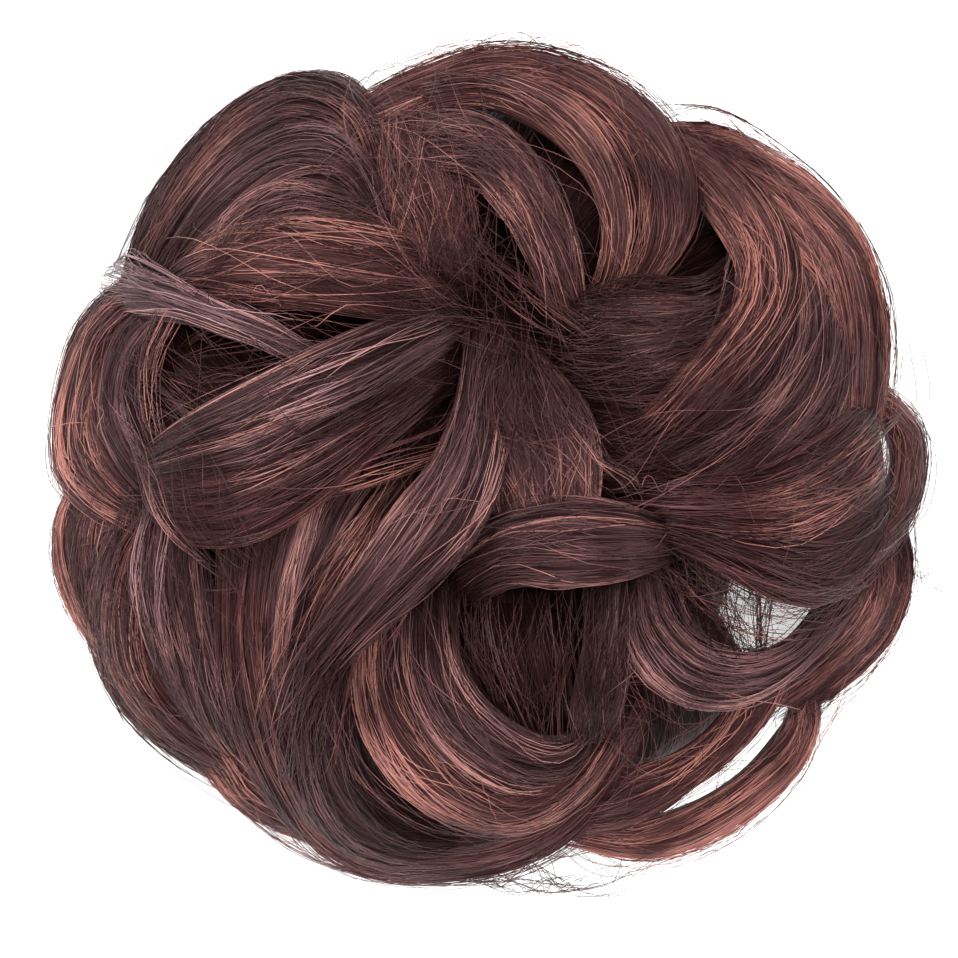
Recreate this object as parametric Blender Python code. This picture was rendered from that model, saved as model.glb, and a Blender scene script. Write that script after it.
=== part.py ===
"""Top knot hairpiece: a messy bun of long false hair on an elastic band.

Metres, +Z up. The bun lies as it does on a table, crown up, and its origin
is the middle of the surface that it rests on.
"""
import bpy
import bmesh
from collections import namedtuple
from math import cos, exp, hypot, pi, radians, sin
from mathutils import Vector
from mathutils.bvhtree import BVHTree

# Driving sizes of the whole bun, in metres
BUN_WIDTH = 0.143
BUN_DEPTH = 0.143
BUN_HEIGHT = 0.054

# Elastic band and the hollow for the wearer's own knot
BAND_BORE = 0.023
BAND_WIDTH = 0.007
BAND_THICKNESS = 0.0042
BAND_ROUNDING = 0.0013
HOLLOW_DEPTH = 0.024
CORE_REACH = 0.044
CORE_CROWN = 0.0050

# Hair locks: crown and belly stand out and in from the plane of the edges
LOCK_CROWN = 0.0026
LOCK_BELLY = 0.0012
PETAL_CROWN = 0.0022
PETAL_BELLY = 0.0012
RIB_DEPTH = 0.0005

# Room left between two pieces, and how far a piece is grown to cut that room
GAP = 0.0003
CUT_GROWTH = 0.00045

# Points nearer than this after a cut are made one, so that no sliver is left
WELD = 0.000005

# Form of the crown: shares of the bun's height
RIM_SHARE = 0.27
CENTRE_DIP = 0.16
CENTRE_DIP_REACH = 0.30
DOME_POWER = 2.7
DOME_ROUND = 1.65

# How a lock spreads past its edges, how full its section is, how its ends
# are drawn in, and how far along it the dips reach
LOCK_SPREAD = 1.32
SECTION_FULLNESS = 0.70
END_WIDTH_SHARE = 0.50
DIP_LENGTH_SHARE = 0.30

# Fineness of the faceted solids
RING_SPACING = 0.0112
LEAST_RINGS = 5
BAND_SIDES = 24
CORE_SIDES = 20

# Edges turned by less than this, in degrees, are shaded smooth
SMOOTH_ANGLE = 50

# How a section is built: a lock is a full lens, a petal is a curved wall.
# Crown and belly grow with the width of the section by the two shares. The
# flatter a section's edges, the further they go out when it is grown.
Section = namedtuple("Section", ("spread", "crown", "belly", "crown_per_width",
                                 "belly_per_width", "crown_points", "belly_points",
                                 "rib", "edge_growth"))
LOCK_SECTION = Section(spread=LOCK_SPREAD, crown=LOCK_CROWN, belly=LOCK_BELLY,
                       crown_per_width=0.13, belly_per_width=0.03,
                       crown_points=5, belly_points=1, rib=RIB_DEPTH, edge_growth=1.0)
PETAL_SECTION = Section(spread=1.0, crown=PETAL_CROWN, belly=PETAL_BELLY,
                        crown_per_width=0.07, belly_per_width=-0.05,
                        crown_points=3, belly_points=1, rib=0.0, edge_growth=2.8)

# Section of the wound core from the middle of its crown, round its rim and up
# into the hollow: share of the core's reach and share of the hollow's depth.
CORE_OUTSIDE = ((0.93, 1.10), (1.00, 0.80), (0.84, 0.45))
CORE_CROWN_SHARE = 0.62
CORE_FOOT_SHARE = 0.60

TONES = {
    "black": (0.020, 0.010, 0.011),
    "brown": (0.050, 0.022, 0.021),
    "copper": (0.125, 0.048, 0.038),
    "plum": (0.070, 0.036, 0.040),
    "elastic": (0.012, 0.010, 0.010),
}

Lock = namedtuple("Lock", "name tone level start_dip end_dip rows")

# Every lock lies between two edges. Each row is a station along the lock:
# first edge across, first edge up, second edge across, second edge up, in
# hundredths of half the bun's width and depth. Level and dips are hundredths
# of its height: how far the lock lies above the plain dome, and how far its
# two ends sink into the hair. The list runs from the lowest lock to the top.
LOCKS = (
    Lock("left_low_back", "copper", -14, 6, 4, (
        (-95, -2, -85, -2), (-99, -12, -87, -12), (-100, -22, -88, -22),
        (-97, -32, -86, -32), (-91, -41, -81, -40), (-84, -48, -76, -46))),
    Lock("right_low_back", "copper", -14, 4, 4, (
        (95, -12, 85, -12), (97, -22, 87, -22), (96, -31, 86, -31),
        (92, -40, 81, -39), (86, -47, 75, -45), (77, -54, 68, -50))),
    Lock("low_right_loop", "copper", -16, 4, 4, (
        (77, -52, 70, -51), (77, -60, 72, -60), (73, -69, 68, -67), (66, -78, 61, -74),
        (57, -85, 52, -80), (46, -90, 42, -84), (34, -92, 32, -86), (21, -89, 20, -84))),
    Lock("ear_loop", "copper", -10, 4, 8, (
        (84, -27, 80, -22), (93, -20, 87, -16), (98, -10, 93, -9), (101, 1, 95, 1),
        (99, 9, 95, 7), (95, 16, 91, 11), (88, 20, 86, 14))),
    Lock("small_lobe", "brown", -16, 8, 4, (
        (-72, -64, -63, -60), (-65, -71, -58, -65), (-59, -78, -53, -71),
        (-51, -83, -47, -76), (-42, -87, -40, -80))),
    Lock("top_left_outer", "brown", -8, 16, 6, (
        (-18, 50, -23, 50), (-23, 74, -30, 70), (-33, 88, -37, 76), (-48, 88, -47, 75),
        (-64, 78, -59, 68), (-77, 62, -70, 55), (-83, 48, -77, 45))),
    Lock("top_left_middle", "plum", -6, 16, 6, (
        (-19, 48, -25, 48), (-26, 66, -31, 60), (-36, 76, -37, 64), (-48, 75, -46, 63),
        (-60, 68, -54, 57), (-70, 57, -63, 50), (-77, 46, -70, 42))),
    Lock("top_left_inner", "plum", -8, 16, 8, (
        (-22, 48, -27, 47), (-28, 60, -32, 54), (-37, 65, -38, 55), (-46, 64, -45, 53),
        (-55, 58, -53, 49), (-62, 51, -60, 45))),
    Lock("left_outer", "copper", -8, 4, 6, (
        (-85, 42, -79, 38), (-94, 33, -87, 30), (-98, 21, -91, 19), (-100, 8, -92, 8),
        (-99, -3, -89, 0), (-93, -10, -84, -6), (-85, -14, -79, -9))),
    Lock("left_inner", "plum", -10, 6, 8, (
        (-80, 38, -73, 35), (-88, 30, -79, 28), (-91, 19, -82, 19), (-91, 9, -82, 11),
        (-87, 0, -79, 4), (-82, -5, -76, -2), (-77, -9, -73, -6))),
    Lock("low_left_outer", "brown", -9, 8, 8, (
        (-78, -6, -74, -10), (-88, -16, -79, -20), (-92, -30, -81, -32), (-90, -44, -79, -43),
        (-84, -56, -74, -53), (-75, -65, -67, -60), (-64, -72, -58, -66))),
    Lock("low_left_inner", "plum", -8, 10, 8, (
        (-77, -13, -68, -13), (-79, -26, -67, -26), (-77, -38, -64, -38),
        (-73, -50, -60, -49), (-67, -60, -58, -58), (-62, -67, -58, -64))),
    Lock("right_upper_outer", "copper", -8, 8, 6, (
        (41, 78, 42, 69), (52, 77, 50, 66), (63, 72, 59, 61), (75, 64, 68, 54),
        (85, 52, 76, 44), (90, 38, 80, 32), (91, 24, 81, 20), (90, 12, 81, 9))),
    Lock("right_flank", "plum", -9, 8, 16, (
        (72, 56, 61, 51), (80, 42, 67, 42), (82, 28, 68, 32), (80, 14, 64, 22),
        (72, 3, 57, 14), (60, -3, 48, 9), (47, -6, 40, 4), (35, -8, 33, 0))),
    Lock("right_inner_arcs", "plum", -13, 10, 6, (
        (19, 37, 19, 22), (31, 38, 31, 19), (42, 38, 42, 21), (51, 38, 53, 26),
        (57, 42, 61, 35), (60, 48, 65, 43))),
    Lock("right_shadow", "black", -15, 6, 2, (
        (20, 30, 22, 1), (29, 28, 29, -1), (37, 24, 37, -2), (45, 19, 45, 1))),
    Lock("top_outer", "copper", -6, 4, 20, (
        (-28, 86, -24, 79), (-14, 92, -13, 83), (0, 95.6, 0, 87), (14, 94.6, 12, 86),
        (28, 89, 23, 80), (39, 80, 31, 71), (46, 68, 35, 62), (46, 56, 35, 52),
        (38, 44, 30, 43), (25, 34, 22, 38))),
    Lock("top_messy", "brown", -9, 6, 8, (
        (-25, 83, -9, 81), (-24, 70, -8, 69), (-21, 58, -6, 57), (-18, 50, -5, 48),
        (-15, 43, -5, 41))),
    Lock("top_inner_arc", "copper", -4, 4, 16, (
        (-14, 80, -13, 68), (-3, 79, -3, 66), (6, 73, 2, 61), (13, 64, 7, 54),
        (18, 53, 11, 46), (20, 43, 14, 38), (21, 35, 17, 32))),
    Lock("top_bright", "copper", -1, 4, 18, (
        (-14, 88, -13, 83), (0, 90, -1, 84), (12, 87, 9, 80), (22, 80, 17, 74),
        (29, 69, 23, 66), (32, 57, 26, 56), (31, 46, 25, 46), (26, 37, 22, 38))),
    Lock("right_swirl", "copper", -2, 8, 18, (
        (44, 77, 43, 70), (55, 70, 50, 62), (64, 60, 56, 53), (69, 48, 59, 46),
        (69, 36, 58, 37), (63, 24, 52, 28), (53, 13, 43, 18), (42, 5, 35, 10),
        (31, -1, 28, 4))),
    Lock("low_right_inner", "brown", -10, 4, 8, (
        (71, -50, 60, -49), (66, -61, 56, -58), (58, -70, 50, -65), (49, -77, 42, -69),
        (38, -83, 33, -72), (28, -85, 26, -76), (18, -86, 20, -80))),
    Lock("low_centre", "black", -17, 8, 4, (
        (-4, -32, 14, -33), (-2, -42, 16, -43), (3, -51, 17, -52), (9, -61, 18, -61))),
    Lock("low_light", "plum", -12, 8, 6, (
        (24, -28, 36, -26), (24, -38, 34, -37), (22, -48, 31, -48), (20, -57, 29, -57),
        (19, -64, 27, -62))),
    Lock("right_low_swirl", "plum", -8, 14, 6, (
        (32, -25, 39, -22), (31, -38, 40, -35), (36, -48, 46, -42), (46, -54, 54, -45),
        (58, -54, 62, -45), (69, -48, 70, -42), (79, -39, 76, -36), (88, -28, 83, -26))),
    Lock("right_fan", "brown", -3, 14, 10, (
        (34, -7, 36, -15), (47, -5, 47, -19), (59, -4, 58, -24), (69, -1, 69, -28),
        (78, 4, 79, -27), (85, 9, 87, -19), (89, 12, 90, -8))),
    Lock("low_outer", "copper", -9, 4, 10, (
        (-44, -84, -38, -77), (-36, -91, -30, -83), (-24, -95, -21, -87), (-10, -95, -10, -87),
        (3, -93, 1, -85), (15, -88, 11, -80), (25, -79, 20, -73), (32, -68, 27, -64))),
    Lock("low_grey", "black", -7, 10, 4, (
        (-42, -50, -30, -42), (-44, -63, -32, -55), (-42, -76, -31, -67),
        (-35, -86, -25, -77), (-24, -91, -17, -83), (-11, -92, -7, -84))),
    Lock("low_swirl_inner", "plum", -5, 14, 10, (
        (-21, -32, -9, -28), (-22, -48, -9, -43), (-18, -60, -5, -53), (-10, -69, 2, -60),
        (1, -75, 9, -64), (12, -75, 16, -65), (23, -69, 22, -61))),
    Lock("low_swirl_outer", "copper", -2, 14, 10, (
        (-30, -36, -21, -33), (-30, -52, -22, -49), (-26, -65, -18, -60), (-17, -76, -11, -69),
        (-4, -83, -1, -75), (9, -83, 8, -76), (21, -76, 18, -71), (31, -64, 26, -62))),
    Lock("left_copper", "copper", -8, 10, 6, (
        (-61, -11, -53, -10), (-61, -27, -55, -26), (-61, -41, -55, -40), (-59, -55, -54, -53),
        (-55, -68, -49, -65), (-49, -79, -44, -76), (-44, -86, -40, -82))),
    Lock("mid_copper", "copper", -6, 10, 6, (
        (-53, -9, -43, -7), (-55, -25, -47, -23), (-56, -39, -49, -38), (-54, -53, -48, -52),
        (-51, -66, -45, -65), (-46, -77, -41, -76), (-42, -86, -37, -83))),
    Lock("mid_sheen", "plum", -4, 14, 6, (
        (-43, -5, -25, 1), (-46, -18, -33, -12), (-49, -29, -39, -23), (-50, -41, -43, -35),
        (-50, -53, -45, -47), (-48, -64, -44, -58))),
    Lock("mid_sweep", "brown", -6, 12, 4, (
        (-22, -6, -11, -5), (-30, -15, -19, -15), (-37, -24, -27, -26), (-43, -33, -34, -36),
        (-47, -43, -41, -46), (-50, -53, -46, -55))),
    Lock("pale_lock", "plum", -5, 6, 12, (
        (-84, 49, -89, 36), (-78, 45, -81, 34), (-69, 42, -71, 33), (-60, 38, -62, 30),
        (-51, 34, -53, 27), (-43, 29, -45, 23), (-35, 25, -37, 20))),
    Lock("side_copper", "copper", -2, 14, 6, (
        (-11, 46, -11, 37), (-24, 52, -24, 37), (-37, 55, -38, 38), (-50, 55, -51, 39),
        (-62, 52, -62, 40), (-72, 45, -71, 41))),
    Lock("big_curl_low", "brown", -3, 14, 10, (
        (-9, 30, -8, 21), (-20, 23, -18, 12), (-30, 15, -28, 3), (-41, 8, -38, -6),
        (-52, 3, -50, -14), (-64, 0, -62, -17), (-74, 0, -72, -15), (-80, -3, -78, -10))),
    Lock("big_curl_high", "plum", 1, 14, 10, (
        (-10, 37, -9, 29), (-22, 33, -20, 22), (-33, 28, -31, 14), (-45, 22, -42, 8),
        (-57, 16, -54, 2), (-69, 10, -66, -1), (-78, 4, -77, -3))),
    Lock("centre_brush", "copper", -1, 10, 4, (
        (0, 28, 10, 24), (-1, 16, 18, 16), (1, 5, 22, 7), (3, -4, 23, -3), (5, -14, 22, -14))),
    Lock("cross_roll", "plum", 2, 14, 12, (
        (40, -14, 40, -22), (29, -11, 29, -25), (17, -10, 17, -26), (5, -13, 6, -26),
        (-4, -19, -2, -30))),
    Lock("centre_sweep", "copper", 3, 12, 10, (
        (-5, 27, 3, 24), (-7, 13, 3, 9), (-12, 0, 0, -5), (-21, -12, -7, -18),
        (-30, -25, -17, -29), (-38, -36, -28, -39), (-45, -47, -39, -49), (-51, -58, -47, -59))),
)

Petal = namedtuple("Petal", "heading half_angle reach")

# Petals round the underside, from the band out to the flank: heading in
# degrees from +X, half the angle that the petal covers, and how far it
# reaches, in hundredths of half the bun's width.
PETALS = (
    Petal(2, 20, 84), Petal(42, 22, 86), Petal(84, 22, 88), Petal(126, 22, 88),
    Petal(168, 22, 90), Petal(208, 22, 88), Petal(249, 22, 88), Petal(286, 16, 80),
    Petal(322, 20, 63),
)

# Section of a petal from the band round to the flank: share of the petal's
# reach, height as a share of the bun's, and share of its half angle.
PETAL_STATIONS = (
    (0.00, 0.105, 0.80), (0.40, 0.100, 1.00), (0.80, 0.130, 1.00), (1.00, 0.230, 0.95),
    (0.95, 0.370, 0.95), (0.74, 0.500, 0.98), (0.42, 0.580, 1.00), (0.08, 0.600, 0.90),
)

# How far a petal turns about the axis on its way, in degrees, and its room
# from the band
PETAL_SWIRL = 30
PETAL_CLEARANCE = 0.0006


def clear_scene():
    """Remove whatever the file holds."""
    for old in list(bpy.data.objects):
        bpy.data.objects.remove(old, do_unlink=True)


def hair_material(tone):
    """Return the Principled material of a tone, made on first use."""
    name = "finish_" + tone
    found = bpy.data.materials.get(name)
    if found:
        return found
    made = bpy.data.materials.new(name)
    made.use_nodes = True
    shader = made.node_tree.nodes["Principled BSDF"]
    shader.inputs["Base Color"].default_value = TONES[tone] + (1.0,)
    shader.inputs["Roughness"].default_value = 0.42
    shader.inputs["Metallic"].default_value = 0.0
    made.diffuse_color = TONES[tone] + (1.0,)
    return made


def dome_height(across, up):
    """Height of the plain dome over a place given in shares of half the bun."""
    reach = min(hypot(across, up), 1.0)
    dome = (1.0 - reach ** DOME_POWER) ** (1.0 / DOME_ROUND)
    dip = CENTRE_DIP * exp(-(reach / CENTRE_DIP_REACH) ** 2)
    return BUN_HEIGHT * (RIM_SHARE + (1.0 - RIM_SHARE) * dome - dip)


def through(points, count):
    """That many points, evenly spread along a smooth curve through the given ones."""
    padded = [2 * points[0] - points[1]] + list(points) + [2 * points[-1] - points[-2]]
    curve = []
    for number in range(count):
        along = number * (len(points) - 1) / (count - 1)
        span = min(int(along), len(points) - 2)
        t = along - span
        before, here, there, after = padded[span:span + 4]
        curve.append(0.5 * (2 * here + (there - before) * t
                            + (2 * before - 5 * here + 4 * there - after) * t * t
                            + (3 * here - before - 3 * there + after) * t ** 3))
    return curve


def evened(edges):
    """Both edges with rings a fixed spacing apart along the longer one."""
    lengths = [sum((b - a).length for a, b in zip(edge, edge[1:])) for edge in edges]
    count = max(LEAST_RINGS, round(max(lengths) / RING_SPACING) + 1)
    return [through(edge, count) for edge in edges]


def lock_edges(lock):
    """Both edges of a lock, in metres, from its rows and its level."""
    last = len(lock.rows) - 1
    edges = ([], [])
    for index, row in enumerate(lock.rows):
        along = index / last
        sink = lock.start_dip * max(0.0, 1.0 - along / DIP_LENGTH_SHARE) ** 1.5
        sink += lock.end_dip * max(0.0, 1.0 - (1.0 - along) / DIP_LENGTH_SHARE) ** 1.5
        for edge, across, up in zip(edges, row[0::2], row[1::2]):
            height = dome_height(across / 100, up / 100)
            height += BUN_HEIGHT * (lock.level - sink) / 100
            edge.append(Vector((across / 200 * BUN_WIDTH, up / 200 * BUN_DEPTH, height)))
    return evened(edges)


def petal_edges(petal):
    """Both edges of an underside petal, in metres."""
    reach = petal.reach / 200 * BUN_WIDTH
    start = BAND_BORE + BAND_WIDTH + PETAL_CLEARANCE
    edges = ([], [])
    for index, (share, height, spread) in enumerate(PETAL_STATIONS):
        radius = start + share * (reach - start)
        turn = PETAL_SWIRL * index / (len(PETAL_STATIONS) - 1)
        for edge, side in zip(edges, (-1, 1)):
            angle = radians(petal.heading + turn + side * spread * petal.half_angle)
            edge.append(Vector((radius * cos(angle), radius * sin(angle),
                                height * BUN_HEIGHT)))
    return evened(edges)


def section_ring(first, second, outward, end_share, grow, section):
    """One ribbed, crowned cross-section between two edge points.

    A grown section stands out from the plain one all round, its edges too.
    """
    middle = (first + second) / 2
    half = (second - first) / 2
    width = 2 * half.length
    half = half.normalized() * (half.length * section.spread * end_share
                                + grow * section.edge_growth)
    crown = (section.crown + section.crown_per_width * width) * end_share + 2 * grow
    belly = (section.belly + section.belly_per_width * width) * end_share
    middle = middle - outward * grow
    ring = []
    for point in range(section.crown_points + 2):
        turn = pi - pi * point / (section.crown_points + 1)
        rise = crown * abs(sin(turn)) ** SECTION_FULLNESS
        if 0 < point <= section.crown_points and point % 2 == 0:
            rise -= section.rib
        ring.append(middle + half * cos(turn) + outward * rise)
    for point in range(1, section.belly_points + 1):
        turn = -pi * point / (section.belly_points + 1)
        ring.append(middle + half * cos(turn) + outward * belly * sin(turn))
    return ring


def lock_rings(edges, section, grow=0.0):
    """Cross-sections along a lock or a petal, its two ends drawn in."""
    first_edge, second_edge = edges
    last = len(first_edge) - 1
    spine = [(a + b) / 2 for a, b in zip(first_edge, second_edge)]
    rings = []
    for index, (first, second) in enumerate(zip(first_edge, second_edge)):
        ahead = spine[min(index + 1, last)] - spine[max(index - 1, 0)]
        outward = ahead.cross(second - first).normalized()
        if outward.dot(spine[index] - Vector((0, 0, BUN_HEIGHT * RIM_SHARE))) < 0:
            outward.negate()
        at_end = index in (0, last)
        share = END_WIDTH_SHARE if at_end else 1.0
        ring = section_ring(first, second, outward, share, grow, section)
        if at_end:
            push = ahead.normalized() * (grow if index else -grow)
            ring = [point + push for point in ring]
        rings.append(ring)
    return rings


def skin(name, rings, closed=False):
    """Triangle mesh over a run of rings, faces outward.

    A closed run joins its last ring to its first; any other is capped. Every
    run is split the same way, so that a grown copy keeps clear of the plain one.
    """
    shape = bmesh.new()
    rows = [[shape.verts.new(point) for point in ring] for ring in rings]
    count = len(rows[0])
    following_rows = rows[1:] + rows[:1] if closed else rows[1:]
    for row, following in zip(rows, following_rows):
        for index in range(count):
            beside = (index + 1) % count
            shape.faces.new((row[index], row[beside], following[beside]))
            shape.faces.new((row[index], following[beside], following[index]))
    if not closed:
        shape.faces.new(rows[0])
        shape.faces.new(list(reversed(rows[-1])))
    bmesh.ops.triangulate(shape, faces=shape.faces[:])
    bmesh.ops.recalc_face_normals(shape, faces=shape.faces[:])
    if shape.calc_volume(signed=True) < 0:
        bmesh.ops.reverse_faces(shape, faces=shape.faces[:])
    mesh = bpy.data.meshes.new(name)
    shape.to_mesh(mesh)
    shape.free()
    return mesh


def turned_point(radius, height, index, sides):
    """Point of a turned shape: one of so many places round the axis."""
    angle = 2 * pi * index / sides
    return Vector((radius * cos(angle), radius * sin(angle), height))


def band_mesh():
    """Elastic band: a flat ring with rounded edges."""
    outer = BAND_BORE + BAND_WIDTH
    low = BAND_ROUNDING
    high = BAND_THICKNESS - BAND_ROUNDING
    profile = ((BAND_BORE, low), (BAND_BORE + BAND_ROUNDING, 0.0),
               (outer - BAND_ROUNDING, 0.0), (outer, low),
               (outer, high), (outer - BAND_ROUNDING, BAND_THICKNESS),
               (BAND_BORE + BAND_ROUNDING, BAND_THICKNESS), (BAND_BORE, high))
    rings = [[turned_point(radius, height, index, BAND_SIDES) for radius, height in profile]
             for index in range(BAND_SIDES)]
    return skin("elastic_band", rings, closed=True)


def core_mesh():
    """Wound hair that backs the locks: a cap with a hollow, open below."""
    foot = BAND_THICKNESS + GAP
    profile = [(CORE_REACH * CORE_CROWN_SHARE, HOLLOW_DEPTH + CORE_CROWN)]
    profile += [(CORE_REACH * reach, HOLLOW_DEPTH * height) for reach, height in CORE_OUTSIDE]
    profile += [(BAND_BORE + BAND_WIDTH * CORE_FOOT_SHARE, foot), (BAND_BORE, foot),
                (BAND_BORE, HOLLOW_DEPTH)]
    rings = [[turned_point(radius, height, index, CORE_SIDES) for index in range(CORE_SIDES)]
             for radius, height in profile]
    return skin("hair_core", rings)


def largest_body(mesh):
    """Keep the largest body of a mesh; bodies that meet along an edge count as two."""
    shape = bmesh.new()
    shape.from_mesh(mesh)
    bmesh.ops.remove_doubles(shape, verts=shape.verts[:], dist=WELD)
    unseen = set(shape.faces)
    bodies = []
    while unseen:
        body = []
        queue = [unseen.pop()]
        while queue:
            face = queue.pop()
            body.append(face)
            for edge in face.edges:
                if len(edge.link_faces) != 2:
                    continue
                for near in edge.link_faces:
                    if near in unseen:
                        unseen.discard(near)
                        queue.append(near)
        bodies.append(body)
    bodies.sort(key=lambda body: -sum(face.calc_area() for face in body))
    for body in bodies[1:]:
        bmesh.ops.delete(shape, geom=body, context="FACES")
    loose = [vert for vert in shape.verts if not vert.link_faces]
    bmesh.ops.delete(shape, geom=loose, context="VERTS")
    bmesh.ops.triangulate(shape, faces=shape.faces[:])
    shape.to_mesh(mesh)
    shape.free()


def tree_of(mesh):
    """Search tree over a mesh's faces."""
    points = [vert.co for vert in mesh.vertices]
    return BVHTree.FromPolygons(points, [tuple(face.vertices) for face in mesh.polygons])


def cut_clear(mesh, cutters):
    """Mesh with every cutter's room taken out of it."""
    piece = bpy.data.objects.new("piece", mesh)
    bpy.context.scene.collection.objects.link(piece)
    for cutter in cutters:
        if not tree_of(piece.data).overlap(tree_of(cutter)):
            continue
        tool = bpy.data.objects.new("tool", cutter)
        bpy.context.scene.collection.objects.link(tool)
        tool.hide_render = True
        tool.display_type = "WIRE"
        cut = piece.modifiers.new("cut", "BOOLEAN")
        cut.operation = "DIFFERENCE"
        cut.solver = "EXACT"
        cut.object = tool
        ready = piece.evaluated_get(bpy.context.evaluated_depsgraph_get())
        result = bpy.data.meshes.new_from_object(ready)
        piece.modifiers.remove(cut)
        bpy.data.objects.remove(tool, do_unlink=True)
        piece.data = result
        largest_body(result)
    finished = piece.data
    bpy.data.objects.remove(piece, do_unlink=True)
    return finished


def place(name, mesh, tone):
    """Put a finished mesh in the scene under its name, with its material."""
    mesh.name = name
    mesh.materials.clear()
    mesh.materials.append(hair_material(tone))
    mesh.shade_smooth()
    mesh.set_sharp_from_angle(angle=radians(SMOOTH_ANGLE))
    bpy.context.scene.collection.objects.link(bpy.data.objects.new(name, mesh))


def main():
    """Build the band, the core, the petals and the locks."""
    clear_scene()
    place("elastic_band", band_mesh(), "elastic")
    runs = []
    for number, petal in enumerate(PETALS, 1):
        runs.append(("under_petal_%d" % number, "black", petal_edges(petal), PETAL_SECTION))
    for lock in LOCKS:
        runs.append((lock.name, lock.tone, lock_edges(lock), LOCK_SECTION))
    cutters = [skin("cutter", lock_rings(edges, section, CUT_GROWTH))
               for name, tone, edges, section in runs]
    place("hair_core", cut_clear(core_mesh(), cutters), "black")
    for index, (name, tone, edges, section) in enumerate(runs):
        body = cut_clear(skin(name, lock_rings(edges, section)), cutters[index + 1:])
        place(name, body, tone)


main()
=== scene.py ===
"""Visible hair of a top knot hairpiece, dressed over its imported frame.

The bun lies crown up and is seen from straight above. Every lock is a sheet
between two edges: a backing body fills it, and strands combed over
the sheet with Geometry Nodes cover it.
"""
import logging
from collections.abc import Iterable
from dataclasses import dataclass, field
from enum import Enum
from functools import partial, reduce
from math import copysign, cos, exp, hypot, pi, radians, sin

import bpy
from bpy.types import Material, Mesh, Node, NodeSocket, NodeTree, Object
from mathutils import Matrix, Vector


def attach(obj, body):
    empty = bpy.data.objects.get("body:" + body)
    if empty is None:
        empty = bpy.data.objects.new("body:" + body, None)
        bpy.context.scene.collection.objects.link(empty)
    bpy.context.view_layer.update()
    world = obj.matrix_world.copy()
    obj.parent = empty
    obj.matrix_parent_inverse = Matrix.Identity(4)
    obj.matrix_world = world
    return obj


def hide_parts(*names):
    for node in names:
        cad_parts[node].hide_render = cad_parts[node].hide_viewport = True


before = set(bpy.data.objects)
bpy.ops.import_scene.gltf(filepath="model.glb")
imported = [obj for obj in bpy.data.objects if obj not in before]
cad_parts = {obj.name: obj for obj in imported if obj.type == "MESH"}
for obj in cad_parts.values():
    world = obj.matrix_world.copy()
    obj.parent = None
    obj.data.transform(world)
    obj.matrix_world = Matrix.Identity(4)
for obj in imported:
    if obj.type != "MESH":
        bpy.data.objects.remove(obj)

log = logging.getLogger("top knot")

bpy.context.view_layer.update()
Row = tuple[float, float, float, float]
Colour = tuple[float, float, float]
Edges = tuple[list[Vector], list[Vector]]


class Tone(Enum):
    """Colour family of a lock: lowest tint, highest tint and share of ash grey, which is partly the
    hair's mauve hue and partly painted sheen.
    """

    # darkest tone: dark hair, and also painted shade on the nets over the hub, the hollows and the
    # gaps and on the core under the hollows
    BLACK = (0.00, 0.36, 0.14)
    DUSK = (0.00, 0.58, 0.50)
    BROWN = (0.00, 0.74, 0.11)
    RUST = (0.00, 0.86, 0.08)
    PLUM = (0.00, 0.80, 0.47)
    COPPER = (0.06, 1.07, 0.16)
    # brightened copper: painted rim light on the locks round the edge
    GLOW = (0.10, 1.26, 0.18)
    ROSE = (0.00, 0.90, 0.38)
    BLUSH = (0.06, 1.10, 0.32)
    # pale mauve-grey tone: painted sheen where the hair catches the light
    GREY_SHEEN = (0.08, 1.15, 0.95)


@dataclass(frozen=True)
class BunForm:
    """Driving sizes of the whole bun, in metres, as the frame has them."""

    width: float = 0.143
    depth: float = 0.143
    height: float = 0.054
    rim_share: float = 0.27
    centre_dip: float = 0.16
    dip_reach: float = 0.30
    dome_power: float = 2.7
    dome_round: float = 1.65
    dip_length: float = 0.30
    dip_power: float = 1.5
    tuck_fall: float = 0.8

    def height_at(self, across: float, up: float) -> float:
        """Height of the plain dome over a place.

        Args:
            across: place in shares of half the bun's width.
            up: place in shares of half the bun's depth.

        Returns:
            The height in metres.
        """
        reach = min(hypot(across, up), 1.0)
        dome = (1.0 - reach ** self.dome_power) ** (1.0 / self.dome_round)
        dip = self.centre_dip * exp(-(reach / self.dip_reach) ** 2)
        return self.height * (self.rim_share + (1.0 - self.rim_share) * dome - dip)

    def sink(self, dip: float, away: float) -> float:
        """How far a dip of a lock's end reaches down, at a share of the length from that end."""
        return dip * max(0.0, 1.0 - away / self.dip_length) ** self.dip_power


FORM = BunForm()


@dataclass(frozen=True)
class StrandStyle:
    """How strands lie over a sheet; lengths in metres, the rest in shares."""

    per_metre: float = 9200.0
    radius: float = 0.000073
    clump_width: float = 0.0018
    gather: float = 0.60
    wave: float = 0.014
    wild: float = 0.10
    clump_wave: float = 0.035
    relief: float = 0.0013
    drift: float = 0.12
    splay: float = 0.0
    ragged_start: float = 0.15
    ragged_end: float = 0.30
    depth: float = 0.0004
    fluff: float = 0.0008
    escape: float = 0.02
    escape_height: float = 0.004
    step: float = 0.0050


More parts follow.
